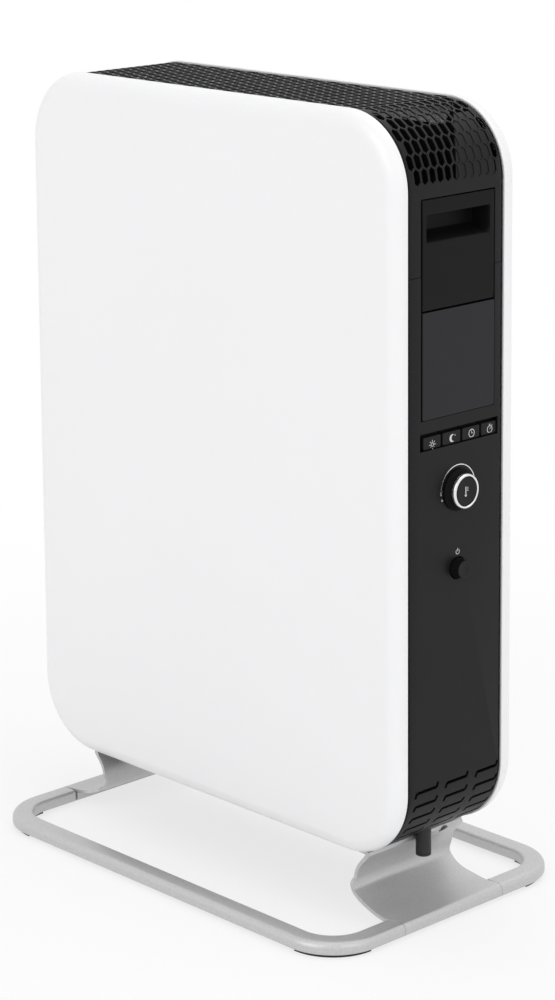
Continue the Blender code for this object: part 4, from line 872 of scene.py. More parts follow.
class HEATER_OT_casing(bpy.types.Operator):
    """Make the two side mouldings and the bottom cover."""

    bl_idname = "heater.casing"
    bl_label = "Casing"

    def execute(self, context):
        sizes = context.scene.heater_sizes
        start = side_along(SEAM_Z) + SEAM_GAP
        low, high = fascia_edges()
        cover_low, cover_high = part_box("bottom_cover")
        end = bottom_along(cover_high.x + FIT_GAP)
        for name, side, lowest in (
            ("control_casing", 1, "display_window"), ("far_casing", -1, "far_handle_insert")
        ):
            notch = side_along(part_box(lowest)[0].z - FIT_GAP)
            outline = [
                (start, -BAND_HALF), (end, -BAND_HALF), (end, BAND_HALF), (start, BAND_HALF),
                (start, high), (notch, high), (notch, low), (start, low),
            ]
            loops = [outline] + screw_holes("control" if side > 0 else "far")
            loops += corner_slots(sizes, side > 0)
            ends = (start, end)
            if side > 0:
                loops += self.control_openings()
            else:
                loops = [[(-along, depth) for along, depth in reversed(loop)] for loop in loops]
                ends = (-end, -start)
            casing = bent_casing(
                loops, *ends, f"{name}_moulding", name, sizes.case_wall, EDGE_CHAMFER
            )
            if side > 0:
                self.cut_for_gland(casing)
        self.bottom_cover(sizes, cover_low, cover_high)
        return {"FINISHED"}

    def control_openings(self):
        """Openings for the row of keys, the dial's shaft and the power button."""
        above_keys = 0.0017
        below_keys = 0.0004
        shaft_hole = 0.0042
        power_hole = 0.0091
        low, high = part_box("key_comfort")
        keys = rectangle(
            side_along(high.z + above_keys), KEY_ROW_FRONT - BAND_Y,
            side_along(low.z - below_keys), KEY_ROW_REAR - BAND_Y,
        )
        dial = node_middle("dial_knob")
        power = node_middle("power_button")
        return [
            keys,
            circle((side_along(dial.z), dial.y - BAND_Y), shaft_hole, 24),
            circle((side_along(power.z), power.y - BAND_Y), power_hole, 48),
        ]

    def cut_for_gland(self, casing):
        """Cuts the gland's hole through the rounded lower corner."""
        radius = 0.0066
        low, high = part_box("cable_gland")
        reach = (high.z - low.z) / 2
        tube = bmesh.new()
        rod(tube, radius, -reach, reach, upright(*node_middle("cable_gland")), 32)
        carved(casing, tube)

    def bottom_cover(self, sizes, low, high):
        """The flat cover between the two side mouldings, with straight air slots."""
        half = sizes.slot_length / 2
        loops = [rectangle(low.x, -BAND_HALF, high.x, BAND_HALF)]
        for row in range(COVER_SLOT_ROWS):
            x = CENTRE_X + (row - (COVER_SLOT_ROWS - 1) / 2) * COVER_SLOT_PITCH
            for depth in SLOT_COLUMNS:
                loops.append(stroke([(x, depth - half), (x, depth + half)], sizes.slot_width))
        work = flat_sheet(loops, sizes.case_wall, EDGE_CHAMFER)
        work.transform(
            Matrix.Translation((0, BAND_Y, low.z)) @ Matrix.Rotation(math.pi, 4, "X")
        )
        piece_from(work, "bottom_cover_plate", "black_case", "heater", ["bottom_cover"], 30)


# Handle inserts and display


INSERT_WALL = 0.0008
BLOCK_CORNER = 0.0012
LEAST_CORNER_SHARE = 0.3


def ease(share):
    """A smooth step from zero to one."""
    share = min(1, max(0, share))
    return share * share * share * (share * (share * 6 - 15) + 10)


def graded(start, end, knots, fine, coarse):
    """Places from start to end, close together near the knots."""
    places = {start, end}
    for knot, width in knots:
        count = int(round(2 * width / fine))
        places |= {knot - width + 2 * width * step / count for step in range(count + 1)}
    gaps = sorted(place for place in places if start <= place <= end)
    full = []
    for first, second in zip(gaps, gaps[1:]):
        count = max(1, int((second - first) / coarse))
        full += [first + (second - first) * step / count for step in range(count)]
    return full + [end]


def recessed_insert(node, side):
    """A flush insert with a finger recess, whose lower lip rolls outwards."""
    sizes = bpy.context.scene.heater_sizes
    low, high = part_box(node)
    trim = sizes.insert_gap - FIT_GAP
    left = low.y + sizes.shadow_gap - FIT_GAP
    right = high.y
    bottom = low.z + trim / 2
    top = high.z - trim
    face = high.x if side > 0 else low.x
    recess_left = low.y + sizes.recess_margin
    recess_right = high.y - sizes.recess_margin
    recess_top = high.z - sizes.recess_drop
    recess_bottom = recess_top - sizes.recess_height
    wall = 0.0026
    lip = 0.0095
    edge_round = 0.0006
    edge_depth = 0.0016
    fine = 0.00025
    near = 0.003
    across = graded(left, right, ((recess_left, near), (recess_right, near)), fine, 0.006)
    knots = ((recess_top, near), (recess_bottom + lip / 2, lip / 2))
    up = graded(bottom, top, knots, fine, 0.005)
    work = bmesh.new()
    rows = []
    for z in up:
        row = []
        for y in across:
            share = ease((y - recess_left) / wall) * ease((recess_right - y) / wall)
            share *= ease((recess_top - z) / wall) * ease((z - recess_bottom) / lip)
            margin = min(y - left, right - y, z - bottom, top - z)
            short = max(0, edge_round - margin)
            fall = edge_round - math.sqrt(max(0, edge_round**2 - short**2))
            depth = sizes.recess_depth * share + fall
            row.append(work.verts.new((face - side * depth, y, z)))
        rows.append(row)
    bridged(work, rows, closed=False)
    rim = rows[0] + [row[-1] for row in rows[1:]] + rows[-1][-2::-1]
    rim += [row[0] for row in rows[-2:0:-1]]
    sides = [work.verts.new(corner.co - Vector((side * edge_depth, 0, 0))) for corner in rim]
    bridged(work, [rim, sides])
    faced(work, 0, side)
    insert = piece_from(work, f"{node}_moulding", "dark_insert", "heater", [node], 40)
    shelled(insert, INSERT_WALL)


def raised_block(low, high, stations):
    """A block facing +X over a box's Y and Z: stations are (inset, place along X)."""
    middle = (low + high) / 2
    half = (high - low) / 2
    work = bmesh.new()
    loops = []
    for inset, x in stations:
        radius = max(BLOCK_CORNER - inset, BLOCK_CORNER * LEAST_CORNER_SHARE)
        ring = rounded_rectangle(half.y - inset, half.z - inset, radius, 6)
        loops.append([work.verts.new((x, middle.y + y, middle.z + z)) for y, z in ring])
    bridged(work, loops)
    work.faces.new(loops[0])
    work.faces.new(loops[-1])
    bmesh.ops.recalc_face_normals(work, faces=work.faces[:])
    return work


def rounded_front(back, front, radius):
    """Stations of a block with a rounded front edge."""
    steps = 4
    stations = [(0, back), (0, front - radius)]
    for step in range(1, steps + 1):
        turn = QUARTER_TURN * step / steps
        stations.append((radius * (1 - math.cos(turn)), front - radius + radius * math.sin(turn)))
    return stations


class HEATER_OT_fascia(bpy.types.Operator):
    """Make the handle inserts and the display window."""

    bl_idname = "heater.fascia"
    bl_label = "Handle inserts and display"

    def execute(self, context):
        sizes = context.scene.heater_sizes
        recessed_insert("handle_insert", 1)
        recessed_insert("far_handle_insert", -1)
        low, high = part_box("display_window")
        low.y += sizes.shadow_gap - FIT_GAP
        high.z -= (sizes.insert_gap - FIT_GAP) / 2
        rounding = 0.0005
        stations = rounded_front(low.x, high.x, rounding) + [(BLOCK_CORNER, high.x)]
        work = raised_block(low, high, stations)
        piece_from(work, "display_glass", "smoked_window", "heater", ["display_window"], 60)
        return {"FINISHED"}


# Marks


MARK_LINE = 0.00050
RING_LINE = 0.00055
MARK_THICKNESS = 0.00005


def add_mark(work, shapes, face_x, middle, thickness=MARK_THICKNESS):
    """Printed shapes on a face towards +X: closed flat outlines of (y, z) from the middle."""
    facing_out = Matrix(((0, 0, 1, 0), (1, 0, 0, 0), (0, 1, 0, 0), (0, 0, 0, 1)))
    place = Matrix.Translation((face_x + thickness, middle.y, middle.z)) @ facing_out
    for shape in shapes:
        sheet = flat_sheet([shape], thickness)
        sheet.transform(place)
        mesh = bpy.data.meshes.new("mark")
        sheet.to_mesh(mesh)
        sheet.free()
        work.from_mesh(mesh)
        bpy.data.meshes.remove(mesh)


def ring_shapes(radius, width, start_deg=0, end_deg=360, steps=32):
    """Part of a ring, in short pieces that lie end to end."""
    shapes = []
    for step in range(steps):
        first = start_deg + (end_deg - start_deg) * step / steps
        second = start_deg + (end_deg - start_deg) * (step + 1) / steps
        outer = arc((0, 0), radius + width / 2, first, second, 2)
        inner = arc((0, 0), radius - width / 2, second, first, 2)
        shapes.append(outer + inner)
    return shapes


def sun_mark():
    """A disc with eight rays."""
    rays = 8
    near = circle((0, 0), 0.0022, rays)
    far = circle((0, 0), 0.0034, rays)
    return ring_shapes(0.0013, MARK_LINE) + [
        stroke(list(ray), MARK_LINE, 3) for ray in zip(near, far)
    ]


def moon_mark():
    """A crescent with a small dot beside it."""
    outer = arc((-0.0003, 0), 0.0031, 55.6, 304.4, 28)
    inner = arc((0.0013, 0), 0.00256, 273, 87, 22)[1:-1]
    return [outer + inner, circle((0.0026, 0.0019), 0.00045, 12)]


def clock_mark():
    """A ring with two hands."""
    shapes = ring_shapes(0.0030, RING_LINE)
    shapes.append(stroke([(0, 0.0019), (0, 0), (0.0015, 0)], MARK_LINE, 3))
    return shapes


def timer_mark():
    """A stopwatch: a ring with a push on top and one hand."""
    shapes = ring_shapes(0.0027, RING_LINE)
    shapes.append(rectangle(-0.0008, 0.0035, 0.0008, 0.0041))
    shapes.append(stroke([(0.0022, 0.0026), (0.0027, 0.0031)], MARK_LINE, 3))
    shapes.append(stroke([(0, 0), (0.0011, 0.0012)], MARK_LINE, 3))
    return shapes


def power_mark():
    """A broken ring with a bar."""
    shapes = ring_shapes(0.0019, MARK_LINE, 125, 415)
    shapes.append(stroke([(0, 0.0005), (0, 0.0027)], MARK_LINE, 3))
    return shapes


def thermometer_mark():
    """A plain thermometer with three graduations."""
    shapes = [circle((-0.0006, -0.0030), 0.0011, 24)]
    shapes.append(stroke([(-0.0006, -0.0026), (-0.0006, 0.0034)], 0.00085, 6))
    for step in range(3):
        z = 0.0004 + step * 0.0012
        shapes.append(stroke([(0.0008, z), (0.0021, z)], 0.0004, 3))
    return shapes


# Keys, dial and power button


# Each key's name and mark, the mark's Y and Z, and the two ends of the key's face along Y

KEYS = (
    ("comfort", sun_mark, -0.0302, 0.3917, -0.0402, -0.0210),
    ("night", moon_mark, -0.0079, 0.3928, -0.0190, 0.0008),
    ("clock", clock_mark, 0.0132, 0.3929, 0.0028, 0.0220),
    ("timer", timer_mark, 0.0336, 0.3924, 0.0240, 0.0408),
)


class HEATER_OT_keys(bpy.types.Operator):
    """Make the four keys and their marks."""

    bl_idname = "heater.keys"
    bl_label = "Keys"

    def execute(self, context):
        sizes = context.scene.heater_sizes
        clearance = 0.0004
        skirt_ahead = 0.0005
        skirt_drop = 0.0034
        face_depth = 0.0038
        rounding = 0.0007
        dish = 0.00010
        dish_stations = ((0.0016, dish * 0.6), (0.0030, dish))
        for key, shapes, mark_y, mark_z, face_front, face_rear in KEYS:
            body = f"key_{key}_body"
            low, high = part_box(f"key_{key}")
            face = high.x
            low.y = face_front - skirt_ahead
            high.y = face_rear
            # Each key's skirt has the dark grip finish as painted shade, standing for the shade in
            # the gap round the key's face.
            shaded_skirt = raised_block(low, high, [(0, low.x), (0, face - skirt_drop)])
            piece_from(shaded_skirt, f"{key}_skirt", "soft_grip", body)
            low.x = face - face_depth
            low.y = face_front
            high.z -= sizes.key_drop - clearance
            stations = rounded_front(low.x, face, rounding)
            stations += [(inset, face - fall) for inset, fall in dish_stations]
            work = raised_block(low, high, stations)
            piece_from(work, f"{key}_key", "black_case", body, [f"key_{key}"], 60)
            mark = bmesh.new()
            add_mark(mark, shapes(), face - dish, Vector((0, mark_y, mark_z)))
            piece_from(mark, f"{key}_mark", "printed_mark", body)
        return {"FINISHED"}


def dished_face(face, radius, dish, steps):
    """The start of a turned profile: a face that is dished towards its middle."""
    shares = [step / steps for step in range(steps + 1)]
    return [(radius * share, face - dish * (1 - share**2)) for share in shares]


class HEATER_OT_dial(bpy.types.Operator):
    """Make the dial, its bright ring and cap, and the arc round it."""

    bl_idname = "heater.dial"
    bl_label = "Dial"

    def execute(self, context):
        ring_low, ring_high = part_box("dial_ring")
        middle = node_middle("dial_knob")
        axis = Matrix.Translation((0, middle.y, middle.z))
        rim = (ring_high.z - ring_low.z) / 2
        bore = rim - context.scene.heater_sizes.dial_ring
        self.body(axis, rim)
        self.bezel(axis, rim, bore, ring_low.x, ring_high.x)
        self.cap(axis, bore, middle)
        self.scale(middle)
        return {"FINISHED"}

    def body(self, axis, rim):
        """The dark body, which flares out towards the casing, in dark grip plastic made darker still
        as painted shade on its side.
        """
        steps = 12
        edge = 0.0004
        slack = 0.0001
        low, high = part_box("dial_knob")
        foot = (high.z - low.z) / 2
        profile = [(0, high.x), (rim - edge * 2.5, high.x), (rim - edge * 1.5, high.x - edge / 2)]
        for step in range(steps + 1):
            share = step / steps
            flare = (1 - math.cos(share * QUARTER_TURN)) * (foot - rim - slack)
            profile.append((rim + flare, high.x - edge - (high.x - low.x - 2 * edge) * share))
        profile += [(foot, low.x + edge / 2), (foot - edge, low.x), (0, low.x)]
        work = bmesh.new()
        turned(work, profile, axis, 96)
        piece_from(
            work, "dial_body_moulding", "soft_grip", "dial_body", ["dial_knob"], 40
        )

    def bezel(self, axis, rim, bore, back, front):
        """The bright ring, rounded outwards and lapped over the body's edge."""
        rounding = ((0.0011, 0), (0.0005, 0.00025), (0.0001, 0.0008), (-0.0001, 0.0012))
        lap = ((-0.0001, 0.0009), (0.0008, 0.0010))
        profile = [(bore, back), (bore, front - 0.0004), (bore + 0.0003, front)]
        profile += [(rim - inwards, front - down) for inwards, down in rounding]
        profile += [(rim - inwards, back - down) for inwards, down in lap]
        work = bmesh.new()
        turned(work, profile + [(bore, back)], axis, 96)
        welded(work)
        piece_from(work, "dial_bezel", "bright_trim", "dial_body", ["dial_ring"], 28)

    def cap(self, axis, bore, middle):
        """The dished cap with its mark."""
        gap = 0.0003
        dish = 0.00035
        dish_share = 0.93
        mark_sink = 0.00032
        mark_depth = 0.00016
        low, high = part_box("dial_cap")
        edge = bore - gap
        profile = dished_face(high.x, edge * dish_share, dish, 8)
        profile += [(edge - 0.0002, high.x - 0.0001), (edge, high.x - 0.0004)]
        profile += [(edge, low.x), (0, low.x)]
        work = bmesh.new()
        turned(work, profile, axis, 72)
        piece_from(work, "dial_cap_disc", "black_case", "dial_body", ["dial_cap"], 40)
        mark = bmesh.new()
        add_mark(mark, thermometer_mark(), high.x - mark_sink, middle, mark_depth)
        piece_from(mark, "dial_mark", "printed_mark", "dial_body")

    def scale(self, middle):
        """The bright arc on the casing, with its thick ends and a tick past it."""
        line = 0.0007
        margin = 0.0011
        lift = 0.0006
        low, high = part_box("dial_arc")
        radius = (high.y - low.y) / 2 - margin
        shapes = ring_shapes(radius, line, -8, 180, 56)
        for start_deg, end_deg, steps, width in (
            (178, 185, 3, 0.0021), (198, 200, 2, 0.0013), (-11, -8, 2, 0.0012)
        ):
            shapes.append(stroke(arc((0, 0), radius, start_deg, end_deg, steps), width))
        work = bmesh.new()
        place = Vector((0, middle.y, middle.z + lift))
        add_mark(work, shapes, CASING_HIGH.x, place, high.x - CASING_HIGH.x)
        welded(work)
        piece_from(work, "dial_scale", "bright_trim", "heater", ["dial_arc"])


PUSH_DEPTH = 0.0016


class HEATER_OT_power(bpy.types.Operator):
    """Make the power button and its mark."""

    bl_idname = "heater.power"
    bl_label = "Power button"

    def execute(self, context):
        face_radius = 0.0069
        mark_rise = 0.0128
        middle = node_middle("power_button")
        axis = Matrix.Translation((0, middle.y, middle.z))
        self.push(axis, face_radius)
        self.grip(axis, face_radius)
        mark = bmesh.new()
        place = Vector((0, middle.y, middle.z + mark_rise))
        add_mark(mark, power_mark(), CASING_HIGH.x, place)
        piece_from(mark, "power_sign", "printed_mark", "heater")
        return {"FINISHED"}

    def push(self, axis, top):
        """The button's dished face."""
        dish = 0.0003
        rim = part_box("power_button")[1].x
        profile = dished_face(rim, top * 0.88, dish, 12)
        profile += [(top * 0.93, rim), (top * 0.97, rim - 0.00012), (top, rim - 0.00045)]
        profile += [(top, rim - PUSH_DEPTH), (0, rim - PUSH_DEPTH)]
        work = bmesh.new()
        turned(work, profile, axis, 72)
        piece_from(work, "power_push", "black_case", "power_button_body", ["power_button"], 40)

    def grip(self, axis, top):
        """The button's dark skirt, which flares out into the hole: its dark grip finish is painted
        shade on the button's side, while the face keeps the casing's plastic.
        """
        steps = 8
        lip = 0.0007
        flare_depth = 0.0064
        flare_power = 1.15
        skirt_drop = 0.0075
        wall = 0.0015
        inside_top = (top - 0.0001, 0.00055)
        low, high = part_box("power_button")
        foot = (high.z - low.z) / 2
        rim = high.x
        shaded_skirt = rim - skirt_drop
        profile = [(inside_top[0], rim - inside_top[1]), (top + 0.00012, rim - lip)]
        for step in range(1, steps + 1):
            share = step / steps
            width = top + (foot - top) * share**flare_power
            profile.append((width, rim - lip - flare_depth * share))
        profile += [(foot, shaded_skirt), (foot, low.x), (foot - wall, low.x), (foot - wall, shaded_skirt)]
        profile += [(top - 0.0018, rim - PUSH_DEPTH), (inside_top[0], rim - PUSH_DEPTH)]
        profile.append(profile[0])
        work = bmesh.new()
        turned(work, profile, axis, 72)
        welded(work)
        piece_from(work, "power_grip", "soft_grip", "power_button_body", [], 40)


class HEATER_OT_gland(bpy.types.Operator):
    """Make the cable gland in the lower corner."""

    bl_idname = "heater.gland"
    bl_label = "Cable gland"

    def execute(self, context):
        low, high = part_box("cable_gland")
        middle = (low + high) / 2
        collar = (high.y - low.y) / 2
        collar_height = 0.003
        collar_edge = 0.0004
        tube = 0.0062
        bore = 0.0040
        bore_edge = 0.0008
        groove = tube - 0.00035
        groove_rows = ((tube, 0.0030), (groove, 0.0027), (groove, 0.0022), (tube, 0.0019))
        foot_rows = ((tube, 0.0006), (tube - 0.0002, 0.0002), (tube - 0.0006, 0))
        under = high.z - collar_height
        profile = [(bore, high.z), (collar - collar_edge, high.z)]
        profile += [(collar, high.z - collar_edge), (collar, under), (tube, under)]
        profile += [(radius, low.z + rise) for radius, rise in groove_rows + foot_rows]
        profile += [(bore + bore_edge, low.z), (bore, low.z + bore_edge), (bore, high.z)]
        work = bmesh.new()
        turned(work, profile, upright(middle.x, middle.y), 48)
        welded(work)
        piece_from(work, "gland_tube", "gland_grey", "heater", ["cable_gland"], 30)
        return {"FINISHED"}


# Stand


def swept(work, path, section):
    """Sweeps a closed (outward, height) section along (x, y, outward x, outward y) places."""
    loops = [
        [work.verts.new((x + out_x * out, y + out_y * out, z)) for out, z in section]
        for x, y, out_x, out_y in path
    ]
    bridged(work, loops)
    work.faces.new(loops[0])
    work.faces.new(loops[-1])
    bmesh.ops.recalc_face_normals(work, faces=work.faces[:])


CORNER_STEPS = 20


def corner_path(centre, radius, start_deg, end_deg, steps):
    """Places round a corner of the ring, each with its outward direction."""
    path = []
    for step in range(steps + 1):
        turn = math.radians(start_deg + (end_deg - start_deg) * step / steps)
        path.append((
            centre[0] + radius * math.cos(turn), centre[1] + radius * math.sin(turn),
            math.cos(turn), math.sin(turn),
        ))
    return path


def rail_section(sizes, bottom, top):
    """The rail's section: flat top, wide rounding outside, softer corners inside and below."""
    half = sizes.rail_width / 2
    bottom += sizes.rail_lift
    inner_round = 0.0030
    under_round = 0.0022
    outer = arc((half - sizes.rail_round, top - sizes.rail_round), sizes.rail_round, 0, 90, 10)
    inner = arc((inner_round - half, top - inner_round), inner_round, 90, 180, 7)
    base = arc((half - under_round, bottom + under_round), under_round, -90, 0, 5)
    base_inner = arc((under_round - half, bottom + under_round), under_round, 180, 270, 5)
    return base + outer + inner + base_inner


class HEATER_OT_rails(bpy.types.Operator):
    """Make the two rails of the stand's ring and their rubber feet."""

    bl_idname = "heater.rails"
    bl_label = "Rails and feet"

    def execute(self, context):
        sizes = context.scene.heater_sizes
        for name, side in (("front_rail", -1), ("rear_rail", 1)):
            self.rail(sizes, name, side)
        for end, side_x in (("control", 1), ("far", -1)):
            for row, side_y in (("front", -1), ("rear", 1)):
                self.foot(sizes, f"foot_{row}_{end}", side_x, side_y)
        return {"FINISHED"}

    def rail(self, sizes, name, side):
        """One rail: a C with a corner at each end."""
        low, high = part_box(name)
        reach_y = abs(low.y if side < 0 else high.y)
        seam = abs(high.y if side < 0 else low.y)
        radius = sizes.ring_corner - sizes.rail_width / 2
        centre_x = (high.x - low.x) / 2 - sizes.ring_corner
        centre_y = reach_y - sizes.ring_corner
        right = corner_path((CENTRE_X + centre_x, -centre_y), radius, 0, -90, CORNER_STEPS)
        left = corner_path((CENTRE_X - centre_x, -centre_y), radius, -90, -180, CORNER_STEPS)
        edge = centre_x + radius
        path = [(CENTRE_X + edge, -seam, 1, 0)] + right + left
        path += [(CENTRE_X - edge, -seam, -1, 0)]
        if side > 0:
            path = [(x, -y, out_x, -out_y) for x, y, out_x, out_y in path]
        work = bmesh.new()
        swept(work, path, rail_section(sizes, low.z, high.z))
        piece_from(work, f"{name}_bar", "silver_paint", "heater", [name], 40)

    def foot(self, sizes, node, side_x, side_y):
        """A rubber arc under one corner of the ring."""
        half = 0.0050
        edge = 0.0004
        rail_low, rail_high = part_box("front_rail")
        centre = (
            CENTRE_X + side_x * ((rail_high.x - rail_low.x) / 2 - sizes.ring_corner),
            side_y * (abs(rail_low.y) - sizes.ring_corner),
        )
        start = {(1, -1): -90, (1, 1): 0, (-1, 1): 90, (-1, -1): 180}[side_x, side_y]
        radius = sizes.ring_corner - sizes.rail_width / 2
        low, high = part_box(node)
        top = high.z - low.z + sizes.rail_lift
        section = [(half, top), (-half, top), (-half, edge), (edge - half, 0)]
        section += [(half - edge, 0), (half, edge)]
        work = bmesh.new()
        swept(work, corner_path(centre, radius, start, start + 90, CORNER_STEPS), section)
        piece_from(work, f"{node}_pad", "black_rubber", "heater", [node], 30)


# The bracket's upper line: shares of its reach inwards and of its rise from the rail

BRACKET_SHARES = (
    (0.30, 0.010), (0.45, 0.038), (0.60, 0.092), (0.745, 0.155), (0.87, 0.228), (0.96, 0.310),
    (0.99, 0.420), (0.983, 0.540), (0.94, 0.685), (0.855, 0.820), (0.725, 0.980),
)
BRACKET_REACH = 0.055

# Where the bracket's front and rear edges lie along Y, at shares of its rise

BRACKET_FRONT = ((0, 0.0600), (0.35, 0.0590), (0.5, 0.0545), (0.8, 0.0535), (1, 0.0560))
BRACKET_REAR = (
    (0, 0.0535), (0.15, 0.0500), (0.3, 0.0512), (0.5, 0.0540), (0.8, 0.0540), (1, 0.0505),
)


def smoothed(points, steps):
    """A smooth line through points, with the given steps between each two."""
    line = []
    padded = [points[0]] + list(points) + [points[-1]]
    for place in range(len(points) - 1):
        p0, p1, p2, p3 = (Vector(point) for point in padded[place:place + 4])
        for step in range(steps):
            t = step / steps
            point = 0.5 * (
                2 * p1 + (p2 - p0) * t + (2 * p0 - 5 * p1 + 4 * p2 - p3) * t**2
                + (3 * p1 - p0 - 3 * p2 + p3) * t**3
            )
            line.append((point.x, point.y))
    return line + [tuple(points[-1])]


def bracket_profile(sizes, reach, bottom, rail_top, top):
    """The bracket's closed section, from the end rail up the curved sheet to its flange."""
    flange_length = 0.040
    flange_round = 0.002
    under_round = 0.0022
    under_corner = 0.0006
    inner_margin = 0.0015
    sheet = sizes.bracket_sheet
    rise = top - sheet - rail_top
    knee = (reach - sizes.rail_round, rail_top)
    line = smoothed([knee] + [
        (reach - BRACKET_REACH * inward, rail_top + rise * up) for inward, up in BRACKET_SHARES
    ], 6)
    back = []
    for place, (x, z) in enumerate(line):
        before = line[max(place - 1, 0)]
        after = line[min(place + 1, len(line) - 1)]
        run = Vector((after[0] - before[0], after[1] - before[1])).normalized()
        back.append((x - run.y * sheet, z + run.x * sheet))
    inner = reach - sizes.rail_width
    under = [(x, z) for x, z in back if x < inner - inner_margin and z < top - sheet]
    top_x = line[-1][0]
    flange = top_x - flange_length
    bottom += sizes.rail_lift
    section = [(inner, bottom + under_round), (inner + under_corner, bottom + under_corner)]
    section += [(inner + under_round, bottom)]
    section += arc((reach - under_round, bottom + under_round), under_round, -90, 0, 5)
    section += arc((knee[0], rail_top - sizes.rail_round), sizes.rail_round, 0, 90, 10)[:-1]
    section += line
    section += arc((top_x - flange_round, top - flange_round), flange_round, 20, 90, 4)
    section += [(flange, top), (flange, top - sheet), (top_x - 2 * sheet, top - sheet)]
    return section + under[::-1] + [(inner, rail_top - sheet)]


def between(table, share):
    """A value read between the rows of a (share, value) table."""
    share = min(1, max(0, share))
    for (low, first), (high, second) in zip(table, table[1:]):
        if share <= high:
            return first + (second - first) * ease((share - low) / (high - low))
    return table[-1][1]


class HEATER_OT_brackets(bpy.types.Operator):
    """Make the two curved brackets of the stand and their thumb screws."""

    bl_idname = "heater.brackets"
    bl_label = "Brackets and screws"

    def execute(self, context):
        sizes = context.scene.heater_sizes
        edge_round = 0.00045
        for end, side in (("control", 1), ("far", -1)):
            bracket, reach, top = self.sheet(sizes, f"{end}_bracket", side)
            self.cut_holes(bracket, end, side, reach, top)
            soft_edges(bracket, edge_round)
            for row in ("front", "rear"):
                self.thumb_screw(f"stand_screw_{end}_{row}")
        return {"FINISHED"}

    def sheet(self, sizes, node, side):
        """The curved sheet, as deep as the rails' gap at its foot and waisted above it."""
        blend = 0.016
        rail_low, rail_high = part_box("front_rail")
        low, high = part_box(node)
        reach = (rail_high.x - rail_low.x) / 2
        narrow = abs(rail_high.y) - FIT_GAP
        section = bracket_profile(sizes, reach, low.z, rail_high.z, high.z)
        work = flat_sheet([section], 2 * narrow)
        work.transform(Matrix.Rotation(QUARTER_TURN, 4, "X") @ Matrix.Translation((0, 0, narrow)))
        for corner in work.verts:
            share = (corner.co.z - rail_high.z) / (high.z - rail_high.z)
            edge = between(BRACKET_FRONT if corner.co.y < 0 else BRACKET_REAR, share)
            over = ease((reach - sizes.rail_round - corner.co.x) / blend)
            corner.co.y *= (narrow + (edge - narrow) * over) / narrow
        if side < 0:
            work.transform(Matrix.Rotation(math.pi, 4, "Z"))
        work.transform(Matrix.Translation((CENTRE_X, 0, 0)))
        bracket = piece_from(work, f"{node}_sheet", "silver_paint", "heater", [node], 40)
        return bracket, reach, high.z

    def cut_holes(self, bracket, end, side, reach, top):
        """Cuts the screw holes and the rear access slot, and puts a black rubber plug into the slot
        as painted shade, which keeps the slot dark.
        """
        hole_reach = 0.008
        slot_radius = 0.0030
        slot_ends = (-0.009, 0.014)
        slot_drop = 0.0048
        slot_stretch = 1.5
        shade_plug_radius = 0.0033
        shade_plug_ends = (-0.0040, -0.0006)
        screws = [node_middle(f"stand_screw_{end}_{row}") for row in ("front", "rear")]
        cutter = bmesh.new()
        for screw in screws:
            place = upright(screw.x, screw.y, top)
            rod(cutter, SCREW_HOLE_RADIUS, -hole_reach, hole_reach, place, 24)
        slot_x = CENTRE_X + side * (reach - BRACKET_REACH * BRACKET_SHARES[-2][0])
        slot = Matrix.Translation((slot_x, screws[-1].y, top - slot_drop))
        slot = slot @ Matrix.Diagonal((side, slot_stretch, 1, 1))
        rod(cutter, slot_radius, *slot_ends, slot, 32)
        # The black plug is painted shade: it stands for the dark seen through the slot.
        shade_plug = bmesh.new()
        rod(shade_plug, shade_plug_radius, *shade_plug_ends, slot, 32)
        piece_from(shade_plug, f"{end}_slot_grommet", "black_rubber", "heater")
        carved(bracket, cutter)

    def thumb_screw(self, node):
        """A ribbed thumb screw up through the bracket's flange."""
        head_height = 0.007
        sole = 0.0004
        shank = 0.0025
        shank_tip = 0.0019
        rib_depth = 0.035
        ribs = 24
        low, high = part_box(node)
        middle = (low + high) / 2
        head = (high.x - low.x) / 2
        head_top = low.z + head_height
        profile = [
            (0, low.z), (head * 0.6, low.z), (head * 0.64, low.z + sole),
            (head * 0.82, low.z + sole), (head * 0.94, low.z + 0.0010),
            (head, low.z + 0.0018), (head, head_top - 0.0008), (head * 0.95, head_top),
            (shank, head_top), (shank, high.z - 0.0006), (shank_tip, high.z), (0, high.z),
        ]
        work = bmesh.new()
        turned(work, profile, upright(middle.x, middle.y), 96)
        for corner in work.verts:
            off = Vector((corner.co.x - middle.x, corner.co.y - middle.y))
            if off.length > head * 0.9:
                turn = math.atan2(off.y, off.x)
                rib = 1 - rib_depth * (1 + math.cos(ribs * turn)) / 2
                corner.co.x = middle.x + off.x * rib
                corner.co.y = middle.y + off.y * rib
        piece_from(work, f"{node}_knob", "black_rubber", "heater", [node], 30)


# Pieces inside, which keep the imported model's shapes


INSIDE = {
    "pale_plastic": (
        "display_module", "key_switch_strip", "rotary_encoder", "encoder_plunger",
        "power_switch", "terminal_block", "tip_switch_housing", "thermal_cutout",
    ),
    "board_green": ("control_board",),
    "plated_steel": (
        "encoder_shaft", "chassis_bar_front", "chassis_bar_rear", "core_saddle_control",
        "core_saddle_far", "heating_element", "heat_shield", "tip_pin", "tip_pendulum",
    ),
    "brass": ("room_sensor", "element_flange", "filler_plug"),
    # The core's dark finish is painted shade for the inside of the casing.
    "core_grey": tuple(f"oil_column_{number}" for number in range(1, 7)),
}


class HEATER_OT_inside(bpy.types.Operator):
    """Give the pieces inside their finishes."""

    bl_idname = "heater.inside"
    bl_label = "Pieces inside"

    def execute(self, context):
        for finish_name, nodes in INSIDE.items():
            for node in nodes:
                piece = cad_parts[node]
                piece.data.materials.clear()
                piece.data.materials.append(finish(finish_name))
        return {"FINISHED"}


# Stage


